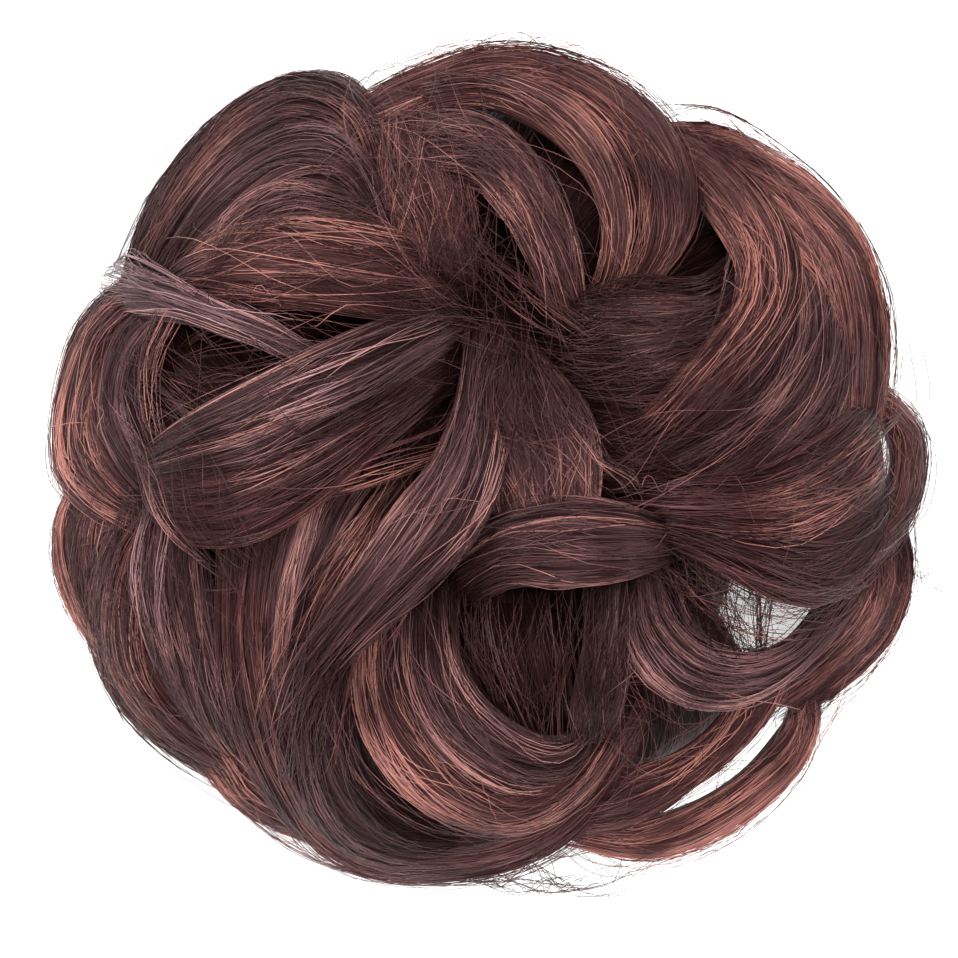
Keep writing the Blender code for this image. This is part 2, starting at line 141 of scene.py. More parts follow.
COMBED = ("radius", "gather", "wave", "wild", "clump_wave", "relief", "drift", "splay",
          "ragged_start", "ragged_end", "depth", "fluff", "escape", "escape_height")
VEIL = StrandStyle(per_metre=620.0, radius=0.00006, clump_width=0.01, gather=0.0, wave=0.04,
                   wild=0.2, clump_wave=0.03, relief=0.0, drift=0.60, splay=0.20,
                   ragged_start=0.6, ragged_end=0.6, depth=0.0, fluff=0.0022, escape=0.10,
                   escape_height=0.006)
WISPY = StrandStyle(wave=0.03, wild=0.2, splay=0.35, ragged_start=0.2, ragged_end=0.55,
                    fluff=0.0015)
MESSY = StrandStyle(per_metre=8000.0, radius=0.00007, gather=0.3, wave=0.05, wild=0.25,
                    clump_wave=0.09, drift=0.6, ragged_start=0.5, ragged_end=0.5, fluff=0.0030)
NET = StrandStyle(per_metre=1050.0, radius=0.00005, clump_width=0.008, gather=0.0, wave=0.03,
                  wild=0.12, clump_wave=0.03, relief=0.0, drift=0.6, splay=0.12,
                  ragged_start=0.5, ragged_end=0.7, depth=0.0, fluff=0.0024, escape=0.05,
                  step=0.0040)
MESH = StrandStyle(per_metre=3000.0, radius=0.00006, clump_width=0.006, gather=0.2, wave=0.04,
                   wild=0.12, clump_wave=0.05, relief=0.0006, drift=0.5, splay=0.12,
                   ragged_start=0.3, ragged_end=0.5, depth=0.0, fluff=0.0020, step=0.0040)
THREADS = StrandStyle(per_metre=4600.0, radius=0.00007, gather=0.3, wave=0.03, wild=0.1,
                      relief=0.0005, splay=0.15, ragged_start=0.2, ragged_end=0.5, depth=0.0,
                      fluff=0.0012, step=0.0044)
FLIES = StrandStyle(per_metre=1300.0, radius=0.00006, clump_width=0.006, gather=0.0, wave=0.10,
                    wild=0.5, clump_wave=0.12, relief=0.0, drift=1.0, splay=0.3,
                    ragged_start=0.3, ragged_end=0.8, depth=0.0, fluff=0.0010, step=0.0026)
PETAL = StrandStyle(per_metre=1900.0, clump_width=0.003, gather=0.2, fluff=0.0006)
WOUND = StrandStyle(per_metre=3000.0, clump_width=0.0045, wild=0.0, ragged_start=0.3,
                    ragged_end=0.3, wave=0.006, clump_wave=0.008, drift=0.04, relief=0.0008,
                    escape=0.0, step=0.0066)


@dataclass(frozen=True)
class Gleam:
    """Lit band across a lock, at a share of its length, which darkens away from it."""

    at: float = 0.5
    strength: float = 0.45
    reach: float = 0.5
    power: float = 1.5
    shade: float = 0.42

    def factor(self, along: float) -> float:
        """What the tint is multiplied by, at a share of the length."""
        lit = max(0.0, 1.0 - abs(along - self.at) / self.reach) ** self.power
        return 1.0 + self.strength * (lit - self.shade)


PLAIN = Gleam(strength=0.0)


@dataclass(frozen=True)
class HairLock:
    """A lock between two edges.

    Each row is a station along it: first edge across and up, second edge
    across and up, in hundredths of half the bun's width and depth. The level
    and the dips are hundredths of its height. Each end runs on into the hair
    by its tuck, in metres, where it has narrowed to the share that fan gives.
    Strands spread past the edges by a factor, and the backing fills a share
    of the length.
    """

    name: str
    tone: Tone
    level: float
    start_dip: float
    end_dip: float
    rows: tuple[Row, ...]
    style: StrandStyle = StrandStyle()
    tuck: tuple[float, float] = (0.006, 0.006)
    spread: float = 1.32
    fan: float = 0.32
    filled: tuple[float, float] = (0.0, 1.0)
    gleam: Gleam = Gleam()


@dataclass(frozen=True)
class Strays(HairLock):
    """Sheet of stray hairs, a sparse net unless it says otherwise."""

    style: StrandStyle = NET


def circle(count: int) -> list[float]:
    """Evenly spread angles of a full turn, in radians."""
    return [2 * pi * index / count for index in range(count)]


def turned(profile: Iterable[tuple[float, float]], turn: float) -> list[Vector]:
    """Points of a profile of radius and height, turned about the upright axis by an angle."""
    return [Vector((radius * cos(turn), radius * sin(turn), height))
            for radius, height in profile]


def added(name: str, data: bpy.types.ID) -> Object:
    """Put new data in the scene.

    Args:
        name: name of the object.
        data: its mesh, light or camera.

    Returns:
        The object.
    """
    made = bpy.data.objects.new(name, data)
    bpy.context.scene.collection.objects.link(made)
    return made


def grown(guide: Object, tree: NodeTree, values: dict[str, object]) -> Mesh:
    """Plain mesh that a Geometry Nodes tree grows from an object.

    Args:
        guide: the object, which is used up.
        tree: the tree.
        values: its inputs, by the sockets' identifiers.

    Returns:
        The mesh.
    """
    modifier = guide.modifiers.new("grow", "NODES")
    modifier.node_group = tree
    for key, value in values.items():
        modifier[key] = value
    mesh = bpy.data.meshes.new_from_object(
        guide.evaluated_get(bpy.context.evaluated_depsgraph_get()))
    guide.modifiers.remove(modifier)
    bpy.data.objects.remove(guide, do_unlink=True)
    return mesh


def mapped_mesh(name: str, points: list[Vector], faces: list[list[int]], layer: str,
                corners: list[tuple[float, float]]) -> Mesh:
    """Mesh with a UV map.

    Args:
        name: name of the mesh.
        points: its points.
        faces: the points of each face.
        layer: name of the UV map.
        corners: its value at each corner of the faces, in order.

    Returns:
        The mesh.
    """
    mesh = bpy.data.meshes.new(name)
    mesh.from_pydata([tuple(point) for point in points], [], faces)
    uv = mesh.uv_layers.new(name=layer)
    for corner, value in zip(uv.data, corners):
        corner.uv = value
    return mesh


def smooth_through(points: list[Vector], count: int) -> list[Vector]:
    """Points evenly spread along a smooth curve.

    Args:
        points: the points that the curve passes.
        count: how many points to return.

    Returns:
        The points along the curve.
    """
    padded = [2 * points[0] - points[1], *points, 2 * points[-1] - points[-2]]
    curve = []
    for number in range(count):
        along = number * (len(points) - 1) / (count - 1)
        span = min(int(along), len(points) - 2)
        t = along - span
        before, here, there, after = padded[span:span + 4]
        curve.append(0.5 * (2 * here + (there - before) * t
                            + (2 * before - 5 * here + 4 * there - after) * t * t
                            + (3 * here - before - 3 * there + after) * t ** 3))
    return curve


@dataclass
class Sheet:
    """Crowned surface between two edges, sampled in rows along it.

    Strands are combed over it from one place round its section to another,
    both in degrees, and its backing thins over a share of the length at each
    end to a tip of a share of the size.
    """

    first: list[Vector]
    second: list[Vector]
    spread: float = 1.32
    crown: float = 0.0026
    belly: float = 0.0012
    crown_per_width: float = 0.13
    belly_per_width: float = 0.03
    fullness: float = 0.70
    spacing: float = 0.0022
    least_rows: int = 8
    columns: int = 15
    combed: tuple[float, float] = (200.0, -20.0)
    taper: float = 0.14
    least_taper: int = 3
    tip_size: float = 0.25
    centre: Vector = field(default_factory=lambda: Vector((0, 0, FORM.height * FORM.rim_share)))

    def __post_init__(self) -> None:
        """Resample both edges to an even spacing."""
        self.length = max(sum((b - a).length for a, b in zip(edge, edge[1:]))
                          for edge in (self.first, self.second))
        count = max(self.least_rows, round(self.length / self.spacing))
        self.first = smooth_through(self.first, count)
        self.second = smooth_through(self.second, count)
        widths = [(b - a).length for a, b in zip(self.first, self.second)]
        self.width = (max(widths) + sum(widths) / len(widths)) / 2

    def ring(self, index: int, angles: list[float], wide: float = 1.0, tall: float = 1.0,
             below: float = 1.0) -> list[Vector]:
        """Points of one cross-section.

        Args:
            index: which row of the sheet.
            angles: places round the section, pi at the first edge, 0 at the second.
            wide: factor on the width.
            tall: factor on the crown.
            below: factor on the belly.

        Returns:
            A point for each angle.
        """
        last = len(self.first) - 1
        low, high = max(index - 1, 0), min(index + 1, last)
        ahead = self.first[high] + self.second[high] - self.first[low] - self.second[low]
        across = self.second[index] - self.first[index]
        middle = (self.first[index] + self.second[index]) / 2
        outward = ahead.cross(across).normalized()
        if outward.dot(middle - self.centre) < 0:
            outward.negate()
        width = across.length
        half = across / 2 * self.spread * wide
        crown = (self.crown + self.crown_per_width * width) * tall
        belly = (self.belly + self.belly_per_width * width) * below
        points = []
        for angle in angles:
            rise = sin(angle)
            lift = crown * rise ** self.fullness if rise > 0 else belly * rise
            points.append(middle + half * cos(angle) + outward * lift)
        return points

    def grid(self, name: str) -> Object:
        """Open guide surface with a UV map, for combing strands over.

        Args:
            name: name of the object.

        Returns:
            The guide object.
        """
        start, stop = self.combed
        angles = [radians(start + (stop - start) * column / (self.columns - 1))
                  for column in range(self.columns)]
        points = [point for index in range(len(self.first)) for point in self.ring(index, angles)]
        return guide_surface(name, points, len(self.first), self.columns, self.centre)

    def body(self, name: str, wide: float = 1.0, tall: float = 0.90, below: float = 1.6,
             sides: int = 16, filled: tuple[float, float] = (0.0, 1.0)) -> Mesh:
        """Closed backing body, a little inside the strands.

        Args:
            name: name of the mesh.
            wide: factor on the width.
            tall: factor on the crown.
            below: factor on the belly.
            sides: points round a section.
            filled: share of the length where it starts and ends.

        Returns:
            The mesh, with its flow map and each point's place along the sheet.
        """
        angles = [pi - angle for angle in circle(sides)]
        last = len(self.first) - 1
        begin, stop = (round(share * last) for share in filled)
        taper = max(self.least_taper, round(self.taper * (stop - begin)))
        rings = []
        for index in range(begin, stop + 1):
            near = min(index - begin, stop - index)
            end = min(1.0, self.tip_size + (1.0 - self.tip_size) * near / taper)
            rings.append(self.ring(index, angles, wide * end, tall * end, below * end))
        mesh = tube_mesh(name, rings, self.length * (filled[1] - filled[0]))
        layer = mesh.attributes.new("along", "FLOAT", "POINT")
        layer.data.foreach_set("value", [index / last for index in range(begin, stop + 1)
                                         for _ in range(sides)])
        return mesh


def guide_surface(name: str, points: list[Vector], rows: int, columns: int,
                  centre: Vector | None = None) -> Object:
    """Open surface through rows of points, with a UV map for combing.

    Args:
        name: name of the object.
        points: the points, row after row.
        rows: how many rows; a strand runs from the first to the last.
        columns: how many points in a row.
        centre: point that the faces look away from, or None to leave them.

    Returns:
        The object.
    """
    faces = []
    corners = []
    for row in range(rows - 1):
        for column in range(columns - 1):
            face = [(row, column), (row, column + 1), (row + 1, column + 1), (row + 1, column)]
            faces.append([r * columns + c for r, c in face])
            corners += [(r / (rows - 1), c / (columns - 1)) for r, c in face]
    mesh = mapped_mesh(name, points, faces, "comb", corners)
    if centre is not None:
        lean = sum(face.normal.dot(face.center - centre) * face.area for face in mesh.polygons)
        if lean < 0:
            mesh.flip_normals()
    return added(name, mesh)


def tube_mesh(name: str, rings: list[list[Vector]], length: float, closed: bool = False) -> Mesh:
    """Closed mesh over a run of rings, with a flow map in metres.

    Args:
        name: name of the mesh.
        rings: the cross-sections.
        length: how long the run is, in metres.
        closed: whether the last ring joins the first.

    Returns:
        The mesh, faces outward.
    """
    sides = len(rings[0])
    middle = rings[len(rings) // 2]
    girth = sum((b - a).length for a, b in zip(middle, middle[1:]))
    runs = len(rings) if closed else len(rings) - 1
    faces = []
    flow = []
    for row in range(runs):
        for side in range(sides):
            corners = ((row, side), (row, side + 1), (row + 1, side + 1), (row + 1, side))
            faces.append([r % len(rings) * sides + s % sides for r, s in corners])
            flow += [(r / runs * length, s / sides * girth) for r, s in corners]
    if not closed:
        for ring, along in ((0, 0.0), (len(rings) - 1, length)):
            order = range(sides) if ring else range(sides - 1, -1, -1)
            faces.append([ring * sides + side for side in order])
            flow += [(along, 0.0)] * sides
    mesh = mapped_mesh(name, [point for ring in rings for point in ring], faces, "flow", flow)
    volume = sum(mesh.vertices[face.vertices[0]].co.dot(face.normal) * face.area
                 for face in mesh.polygons)
    if volume < 0:
        mesh.flip_normals()
    mesh.shade_smooth()
    return mesh


def joined(name: str, meshes: list[Mesh]) -> Object:
    """One object of several meshes, with their materials and attributes.

    Args:
        name: name of the object.
        meshes: the meshes, which are used up.

    Returns:
        The object, at the origin.
    """
    parts = [added(name, mesh) for mesh in meshes]
    with bpy.context.temp_override(active_object=parts[0], selected_editable_objects=parts):
        bpy.ops.object.join()
    parts[0].name = name
    parts[0].data.name = name
    return parts[0]


class NodeWiring:
    """A node tree under construction, with short ways to add what it needs."""

    def __init__(self, tree: NodeTree) -> None:
        """Start on a tree."""
        self.tree = tree

    def feed(self, socket: NodeSocket, value: object) -> None:
        """Link a socket to another one, or set it to a plain value.

        Args:
            socket: the socket to feed.
            value: the other socket, or the value.
        """
        if isinstance(value, NodeSocket):
            self.tree.links.new(value, socket)
        else:
            socket.default_value = value

    def node(self, kind: str, values: dict[int | str, object], **settings: object) -> Node:
        """Add a node.

        Args:
            kind: type of the node.
            values: what goes into its sockets, by number or name.
            settings: its own options.

        Returns:
            The node.
        """
        made = self.tree.nodes.new(kind)
        for option, value in settings.items():
            setattr(made, option, value)
        for key, value in values.items():
            self.feed(made.inputs[key], value)
        return made

    def out(self, kind: str, values: dict[int | str, object], **settings: object) -> NodeSocket:
        """Add a node and return its first output."""
        return self.node(kind, values, **settings).outputs[0]

    def sum(self, operation: str, *terms: object) -> NodeSocket:
        """Result of one step of arithmetic on the terms."""
        return self.out("ShaderNodeMath", dict(enumerate(terms)), operation=operation)

    def times(self, *terms: object) -> NodeSocket:
        """Product of the terms, from the first on."""
        return reduce(partial(self.sum, "MULTIPLY"), terms)

    def plus(self, *terms: object) -> NodeSocket:
        """Sum of the terms, from the first on."""
        return reduce(partial(self.sum, "ADD"), terms)

    def minus(self, *terms: object) -> NodeSocket:
        """The first term less the others, one after another."""
        return reduce(partial(self.sum, "SUBTRACT"), terms)

    def fused(self, value: object, factor: object, added_on: object) -> NodeSocket:
        """A value times a factor, plus another value."""
        return self.sum("MULTIPLY_ADD", value, factor, added_on)

    def power(self, value: object, exponent: object) -> NodeSocket:
        """A value raised to a power."""
        return self.sum("POWER", value, exponent)

    def range(self, value: object, low: float, high: float, start: object = 0.0,
              end: object = 1.0) -> NodeSocket:
        """A value taken from one range to another and kept within it."""
        return self.out("ShaderNodeMapRange", {0: value, 1: low, 2: high, 3: start, 4: end},
                        clamp=True)

    def within(self, value: object, margin: float) -> NodeSocket:
        """A value kept a margin inside 0 and 1."""
        return self.out("ShaderNodeClamp", {0: value, 1: margin, 2: 1.0 - margin})

    def mix(self, share: object, first: object, second: object) -> NodeSocket:
        """Mix of two colours."""
        return self.node("ShaderNodeMix", {0: share, 6: first, 7: second},
                         data_type="RGBA").outputs[2]


class GroupBuilder(NodeWiring):
    """A node group under construction, with named inputs and outputs."""

    def __init__(self, name: str, kind: str) -> None:
        """Start an empty group.

        Args:
            name: name of the group.
            kind: type of the tree.
        """
        super().__init__(bpy.data.node_groups.new(name, kind))
        self.entry = self.tree.nodes.new("NodeGroupInput")
        self.exit = self.tree.nodes.new("NodeGroupOutput")
        self.keys: dict[str, str] = {}

    def takes(self, kind: str, *names: str) -> None:
        """Add named inputs.

        Args:
            kind: type of their sockets.
            names: their names.
        """
        for name in names:
            made = self.tree.interface.new_socket(name=name, in_out="INPUT", socket_type=kind)
            self.keys[name] = made.identifier

    def gives(self, kind: str, name: str) -> None:
        """Add a named output of a socket type."""
        self.tree.interface.new_socket(name=name, in_out="OUTPUT", socket_type=kind)

    def given(self, name: str) -> NodeSocket:
        """The socket of a named input."""
        return self.entry.outputs[name]

    def end(self, value: NodeSocket) -> NodeTree:
        """Lead a value out of the group and return the finished tree."""
        self.feed(self.exit.inputs[0], value)
        return self.tree

    def end_solid(self, geometry: NodeSocket) -> NodeTree:
        """End a group of meshes, its instances realized and its material set.

        Args:
            geometry: what leads out of the group.

        Returns:
            The finished tree.
        """
        real = self.out("GeometryNodeRealizeInstances", {0: geometry})
        return self.end(self.out("GeometryNodeSetMaterial",
                                 {"Geometry": real, "Material": self.given("finish")}))


class FinishBuilder(NodeWiring):
    """A material under construction, round its own Principled shader."""

    def __init__(self, name: str) -> None:
        """Start a material.

        Args:
            name: its name.
        """
        self.material = bpy.data.materials.new(name)
        self.material.use_nodes = True
        super().__init__(self.material.node_tree)
        self.shader = self.tree.nodes["Principled BSDF"]

    def dress(self, values: dict[str, object]) -> None:
        """Feed the shader's sockets, by name."""
        for name, value in values.items():
            self.feed(self.shader.inputs[name], value)

    def attribute(self, name: str) -> NodeSocket:
        """Number that a mesh holds at its points."""
        return self.node("ShaderNodeAttribute", {}, attribute_name=name).outputs["Fac"]

    def noise(self, scale: float) -> NodeSocket:
        """Noise over the piece's own place."""
        place = self.node("ShaderNodeTexCoord", {}).outputs["Object"]
        return self.out("ShaderNodeTexNoise", {"Vector": place, "Scale": scale})

    def group(self, tree: NodeTree, values: dict[str, object]) -> NodeSocket:
        """First output of a node group with the given inputs."""
        return self.out("ShaderNodeGroup", values, node_tree=tree)


@dataclass(frozen=True)
class StrandHabit:
    """What all strands do, whatever their style; lengths in metres, the rest in shares."""

    sides: int = 3
    lowest: float = 0.0003
    line: float = 0.01
    side_margin: float = 0.003
    end_margin: float = 0.002
    pull_in_middle: float = 0.45
    turns: tuple[float, float] = (0.5, 1.5)
    swing: tuple[float, float] = (0.2, 1.0)
    wild_power: float = 5.0
    clump_turns: tuple[float, float] = (0.5, 1.3)
    splay_power: float = 3.0
    ragged_power: float = 2.0
    flank: tuple[float, float, float, float] = (0.06, 0.28, 0.12, 1.0)
    fluff_power: float = 3.0
    clump_level: tuple[float, float] = (-0.2, 0.8)
    groove: float = 0.45
    arched: float = 0.8
    escape: tuple[float, float] = (0.2, 1.0)
    escape_power: float = 2.5
    clump_tint: tuple[float, float] = (1.4, 0.58)
    strand_tint: tuple[float, float] = (1.8, 0.42)
    gleam_jitter: float = 0.08
    ash: tuple[float, float] = (0.4, 1.0)
    lit_ash: tuple[float, float] = (0.4, 0.8)
    tip: tuple[float, float] = (0.12, 0.30)
    girth: tuple[float, float] = (0.7, 1.25)
    least: int = 6
    least_clumps: int = 2


class StrandComb:
    """Geometry Nodes that comb closed strands over a guide surface."""

    def __init__(self, habit: StrandHabit = StrandHabit()) -> None:
        """Build the tree once; every lock uses it with its own inputs.

        Args:
            habit: what all strands do.
        """
        self.habit = habit
        b = GroupBuilder("comb strands", "GeometryNodeTree")
        b.takes("NodeSocketGeometry", "guide")
        b.takes("NodeSocketInt", "strands", "points", "seed")
        b.takes("NodeSocketFloat", *COMBED, "clumps", "tint_low", "tint_high", "ash", "gleam",
                "gleam_at")
        b.takes("NodeSocketMaterial", "finish")
        b.gives("NodeSocketGeometry", "Strands")
        self.b = b
        self.strand = b.out("GeometryNodeCurveOfPoint", {})
        self.t = b.out("GeometryNodeSplineParameter", {})
        drawn = self._random(1)
        self.clump = b.sum("FLOOR", b.times(drawn, b.given("clumps")))
        self.aside = b.minus(drawn, b.sum("DIVIDE", b.plus(self.clump, 0.5), b.given("clumps")))
        across, along = self._across(drawn), self._along()
        place, outward = self._sampled(along, across)
        offset = b.out("ShaderNodeVectorMath", {0: outward, "Scale": self._lift(across)},
                       operation="SCALE")
        place = b.out("ShaderNodeVectorMath", {0: place, 1: offset}, operation="ADD")
        place = b.out("ShaderNodeVectorMath", {0: place, 1: (-1.0, -1.0, habit.lowest)},
                      operation="MAXIMUM")
        lines = b.out("GeometryNodeSetPosition", {"Geometry": self._lines(), "Position": place})
        self.tree = b.end_solid(self._tubes(self._coloured(lines, along)))

    def _random(self, number: int, low: float = 0.0, high: float = 1.0,
                key: NodeSocket | None = None) -> NodeSocket:
        """A value drawn once for each strand.

        Args:
            number: which draw it is.
            low: lowest value.
            high: highest value.
            key: what the draw goes by, or None for the strand.

        Returns:
            The drawn value.
        """
        seed = self.b.plus(self.b.given("seed"), float(number))
        return self.b.node("FunctionNodeRandomValue",
                           {2: low, 3: high, "ID": key or self.strand, "Seed": seed},
                           data_type="FLOAT").outputs[1]

    def _lines(self) -> NodeSocket:
        """Straight lines, one for each strand.

        Returns:
            The lines.
        """
        b = self.b
        line = b.out("GeometryNodeCurvePrimitiveLine", {"End": (self.habit.line, 0.0, 0.0)})
        line = b.out("GeometryNodeResampleCurve", {"Curve": line, "Count": b.given("points")})
        points = b.out("GeometryNodePoints", {"Count": b.given("strands")})
        placed = b.out("GeometryNodeInstanceOnPoints", {"Points": points, "Instance": line})
        return b.out("GeometryNodeRealizeInstances", {0: placed})

    def _sway(self, turns: NodeSocket, start: NodeSocket) -> NodeSocket:
        """Sine wave along a strand, from how often it turns and where it starts."""
        return self.b.sum("SINE", self.b.times(self.b.fused(self.t, turns, start), 2 * pi))

    def _across(self, drawn: NodeSocket) -> NodeSocket:
        """Where a strand's points lie across the sheet.

        Args:
            drawn: where the strand was drawn to lie.

        Returns:
            The place, gathered to its clump, waving and drifting.
        """
        b, habit = self.b, self.habit
        ends = b.power(b.sum("ABSOLUTE", b.fused(self.t, 2.0, -1.0)), 2.0)
        pull = b.fused(ends, 1.0 - habit.pull_in_middle, habit.pull_in_middle)
        across = b.fused(b.times(self.aside, -1.0), b.times(b.given("gather"), pull), drawn)
        wild = b.times(b.given("wild"), b.power(self._random(20), habit.wild_power))
        swing = b.times(self._sway(self._random(4, *habit.turns), self._random(3)),
                        b.fused(b.given("wave"), self._random(2, *habit.swing), wild))
        drift = b.times(b.given("drift"), self._random(5, -1.0, 1.0), b.minus(self.t, 0.5))
        across = b.plus(across, swing, drift)
        swing = b.times(self._sway(self._random(17, *habit.clump_turns, self.clump),
                                   self._random(16, key=self.clump)), b.given("clump_wave"))
        splay = b.times(b.given("splay"), self._random(18, -1.0),
                        b.power(self.t, habit.splay_power))
        across = b.sum("PINGPONG", b.plus(across, b.plus(swing, splay)), 1.0)
        return b.within(across, habit.side_margin)

    def _along(self) -> NodeSocket:
        """Where a strand's points lie along the sheet.

        Returns:
            The place, from a ragged start to a ragged end.
        """
        b, habit = self.b, self.habit
        start = b.times(b.given("ragged_start"), b.power(self._random(6), habit.ragged_power))
        end = b.times(b.given("ragged_end"), b.power(self._random(7), habit.ragged_power))
        return b.within(b.fused(self.t, b.minus(1.0, end, start), start), habit.end_margin)

    def _sampled(self, along: NodeSocket, across: NodeSocket) -> list[NodeSocket]:
        """Look the guide up at a place on it.

        Args:
            along: where the place lies along it.
            across: where the place lies across it.

        Returns:
            The guide's place and outward direction there.
        """
        b = self.b
        place = b.out("ShaderNodeCombineXYZ", {0: along, 1: across})
        uv = b.out("GeometryNodeInputNamedAttribute", {"Name": "comb"}, data_type="FLOAT_VECTOR")
        return [b.out("GeometryNodeSampleUVSurface",
                      {0: b.given("guide"), 1: b.out(kind, {}), 2: uv, 3: place},
                      data_type="FLOAT_VECTOR")
                for kind in ("GeometryNodeInputPosition", "GeometryNodeInputNormal")]

    def _lift(self, across: NodeSocket) -> NodeSocket:
        """How far a strand's points stand off the guide.

        Args:
            across: where they lie across it.

        Returns:
            The height over it, in metres.
        """
        b, habit = self.b, self.habit
        arch = b.sum("SINE", b.times(self.t, pi))
        inside = b.range(b.sum("MINIMUM", across, b.minus(1.0, across)), *habit.flank)
        lift = b.times(b.times(b.given("fluff"), arch),
                       b.times(b.power(self._random(9), habit.fluff_power), inside))
        lift = b.minus(lift, b.times(b.given("depth"), self._random(8)))
        groove = b.power(b.sum("ABSOLUTE", b.times(
            self.aside, b.times(b.given("clumps"), 2.0))), 2.0)
        level = b.minus(self._random(19, *habit.clump_level, self.clump),
                        b.times(groove, habit.groove))
        lift = b.fused(b.times(b.given("relief"), level, inside),
                       b.fused(arch, habit.arched, 1.0 - habit.arched), lift)
        flies = b.sum("LESS_THAN", self._random(10), b.given("escape"))
        away = b.times(b.given("escape_height"), self._random(11, *habit.escape),
                       b.power(self.t, habit.escape_power))
        return b.fused(flies, away, lift)

    def _coloured(self, lines: NodeSocket, along: NodeSocket) -> NodeSocket:
        """Strands with their tint and their share of ash grey, partly painted sheen, stored on them.

        Args:
            lines: the strands.
            along: where their points lie along the sheet.

        Returns:
            The strands.
        """
        b, habit = self.b, self.habit
        clump_power, clump_share = habit.clump_tint
        strand_power, strand_share = habit.strand_tint
        tint = b.times(b.power(self._random(13, key=self.clump), clump_power), clump_share)
        tint = b.fused(b.power(self._random(14), strand_power), strand_share, tint)
        tint = b.out("ShaderNodeMix",
                     {0: tint, 2: b.given("tint_low"), 3: b.given("tint_high")},
                     data_type="FLOAT")
        jitter = self._random(21, -habit.gleam_jitter, habit.gleam_jitter, self.clump)
        away = b.sum("ABSOLUTE", b.minus(b.plus(along, jitter), b.given("gleam_at")))
        lit = b.power(b.range(away, 0.0, PLAIN.reach, 1.0, 0.0), PLAIN.power)
        tint = b.times(tint, b.fused(b.given("gleam"), b.minus(lit, PLAIN.shade), 1.0))
        # the ash grey grows where the gleam band is lit: painted sheen
        ash = b.times(b.times(b.given("ash"), self._random(15, *habit.ash)),
                      b.fused(lit, *habit.lit_ash))
        for name, value in (("tint", tint), ("ash", ash)):
            lines = b.out("GeometryNodeStoreNamedAttribute",
                          {"Geometry": lines, "Name": name, "Value": value},
                          data_type="FLOAT", domain="POINT")
        return lines

    def _tubes(self, lines: NodeSocket) -> NodeSocket:
        """Closed tubes round the strands, thin at their tips.

        Args:
            lines: the strands.

        Returns:
            The tubes.
        """
        b, habit = self.b, self.habit
        near_end = b.sum("MINIMUM", self.t, b.minus(1.0, self.t))
        tip, tip_girth = habit.tip
        girth = b.times(b.given("radius"), b.range(near_end, 0.0, tip, tip_girth, 1.0),
                        self._random(12, *habit.girth))
        profile = b.out("GeometryNodeCurvePrimitiveCircle",
                        {"Resolution": habit.sides, "Radius": 1.0})
        tubes = b.out("GeometryNodeCurveToMesh", {"Curve": lines, "Profile Curve": profile,
                                                  "Scale": girth, "Fill Caps": True})
        return b.out("GeometryNodeSetShadeSmooth", {"Geometry": tubes})

    def comb(self, guide: Object, length: float, girth: float, style: StrandStyle, tone: Tone,
             seed: int, gleam: Gleam = PLAIN) -> Mesh:
        """Comb strands over a guide surface and return them as a plain mesh.

        Args:
            guide: the surface, which is used up.
            length: its length, in metres.
            girth: its width, in metres.
            style: how the strands lie.
            tone: their colours.
            seed: fixed seed of every draw.
            gleam: lit band across them.

        Returns:
            The mesh of all the strands.
        """
        habit = self.habit
        low, high, ash = tone.value
        values = {name: getattr(style, name) for name in COMBED}
        values |= {
            "strands": max(habit.least, round(style.per_metre * girth)),
            "points": max(habit.least, round(length / style.step) + 1),
            "clumps": float(max(habit.least_clumps, round(girth / style.clump_width))),
            "seed": seed, "tint_low": low, "tint_high": high, "ash": ash,
            "gleam": gleam.strength, "gleam_at": gleam.at, "finish": StrandFinish().material(),
        }
        return grown(guide, self.tree, {self.b.keys[name]: value
                                        for name, value in values.items()})


@dataclass(frozen=True)
class HairPalette:
    """Colours that strands and backing share, as a shader group."""

    dark: Colour = (0.0056, 0.0018, 0.0022)
    middle: Colour = (0.082, 0.027, 0.0255)
    bright: Colour = (0.520, 0.208, 0.158)
    # ash-grey ramp: the hair's dark mauve up to a pale mauve-grey that is painted sheen
    ash_sheen_dark: Colour = (0.012, 0.0052, 0.0068)
    ash_sheen_pale: Colour = (0.460, 0.280, 0.300)
    ash_sheen_power: float = 1.5

    def group(self) -> NodeTree:
        """Group that turns a tint and a share of ash grey, partly painted sheen, into a colour.

        Returns:
            The group, built once.
        """
        found = bpy.data.node_groups.get("hair colour")
        if found:
            return found
        b = GroupBuilder("hair colour", "ShaderNodeTree")
        b.takes("NodeSocketFloat", "Tint", "Ash_sheen")
        b.gives("NodeSocketColor", "Colour")
        tint = b.given("Tint")
        dark, middle, bright, ash_sheen_dark, ash_sheen_pale = (
            (*colour, 1.0) for colour in (self.dark, self.middle, self.bright, self.ash_sheen_dark,
                                          self.ash_sheen_pale))
        warm = b.mix(b.range(tint, 0.0, 0.5), dark, middle)
        warm = b.mix(b.range(tint, 0.5, 1.0), warm, bright)
        cool = b.mix(b.power(tint, self.ash_sheen_power), ash_sheen_dark, ash_sheen_pale)
        return b.end(b.mix(b.given("Ash_sheen"), warm, cool))


PALETTE = HairPalette()


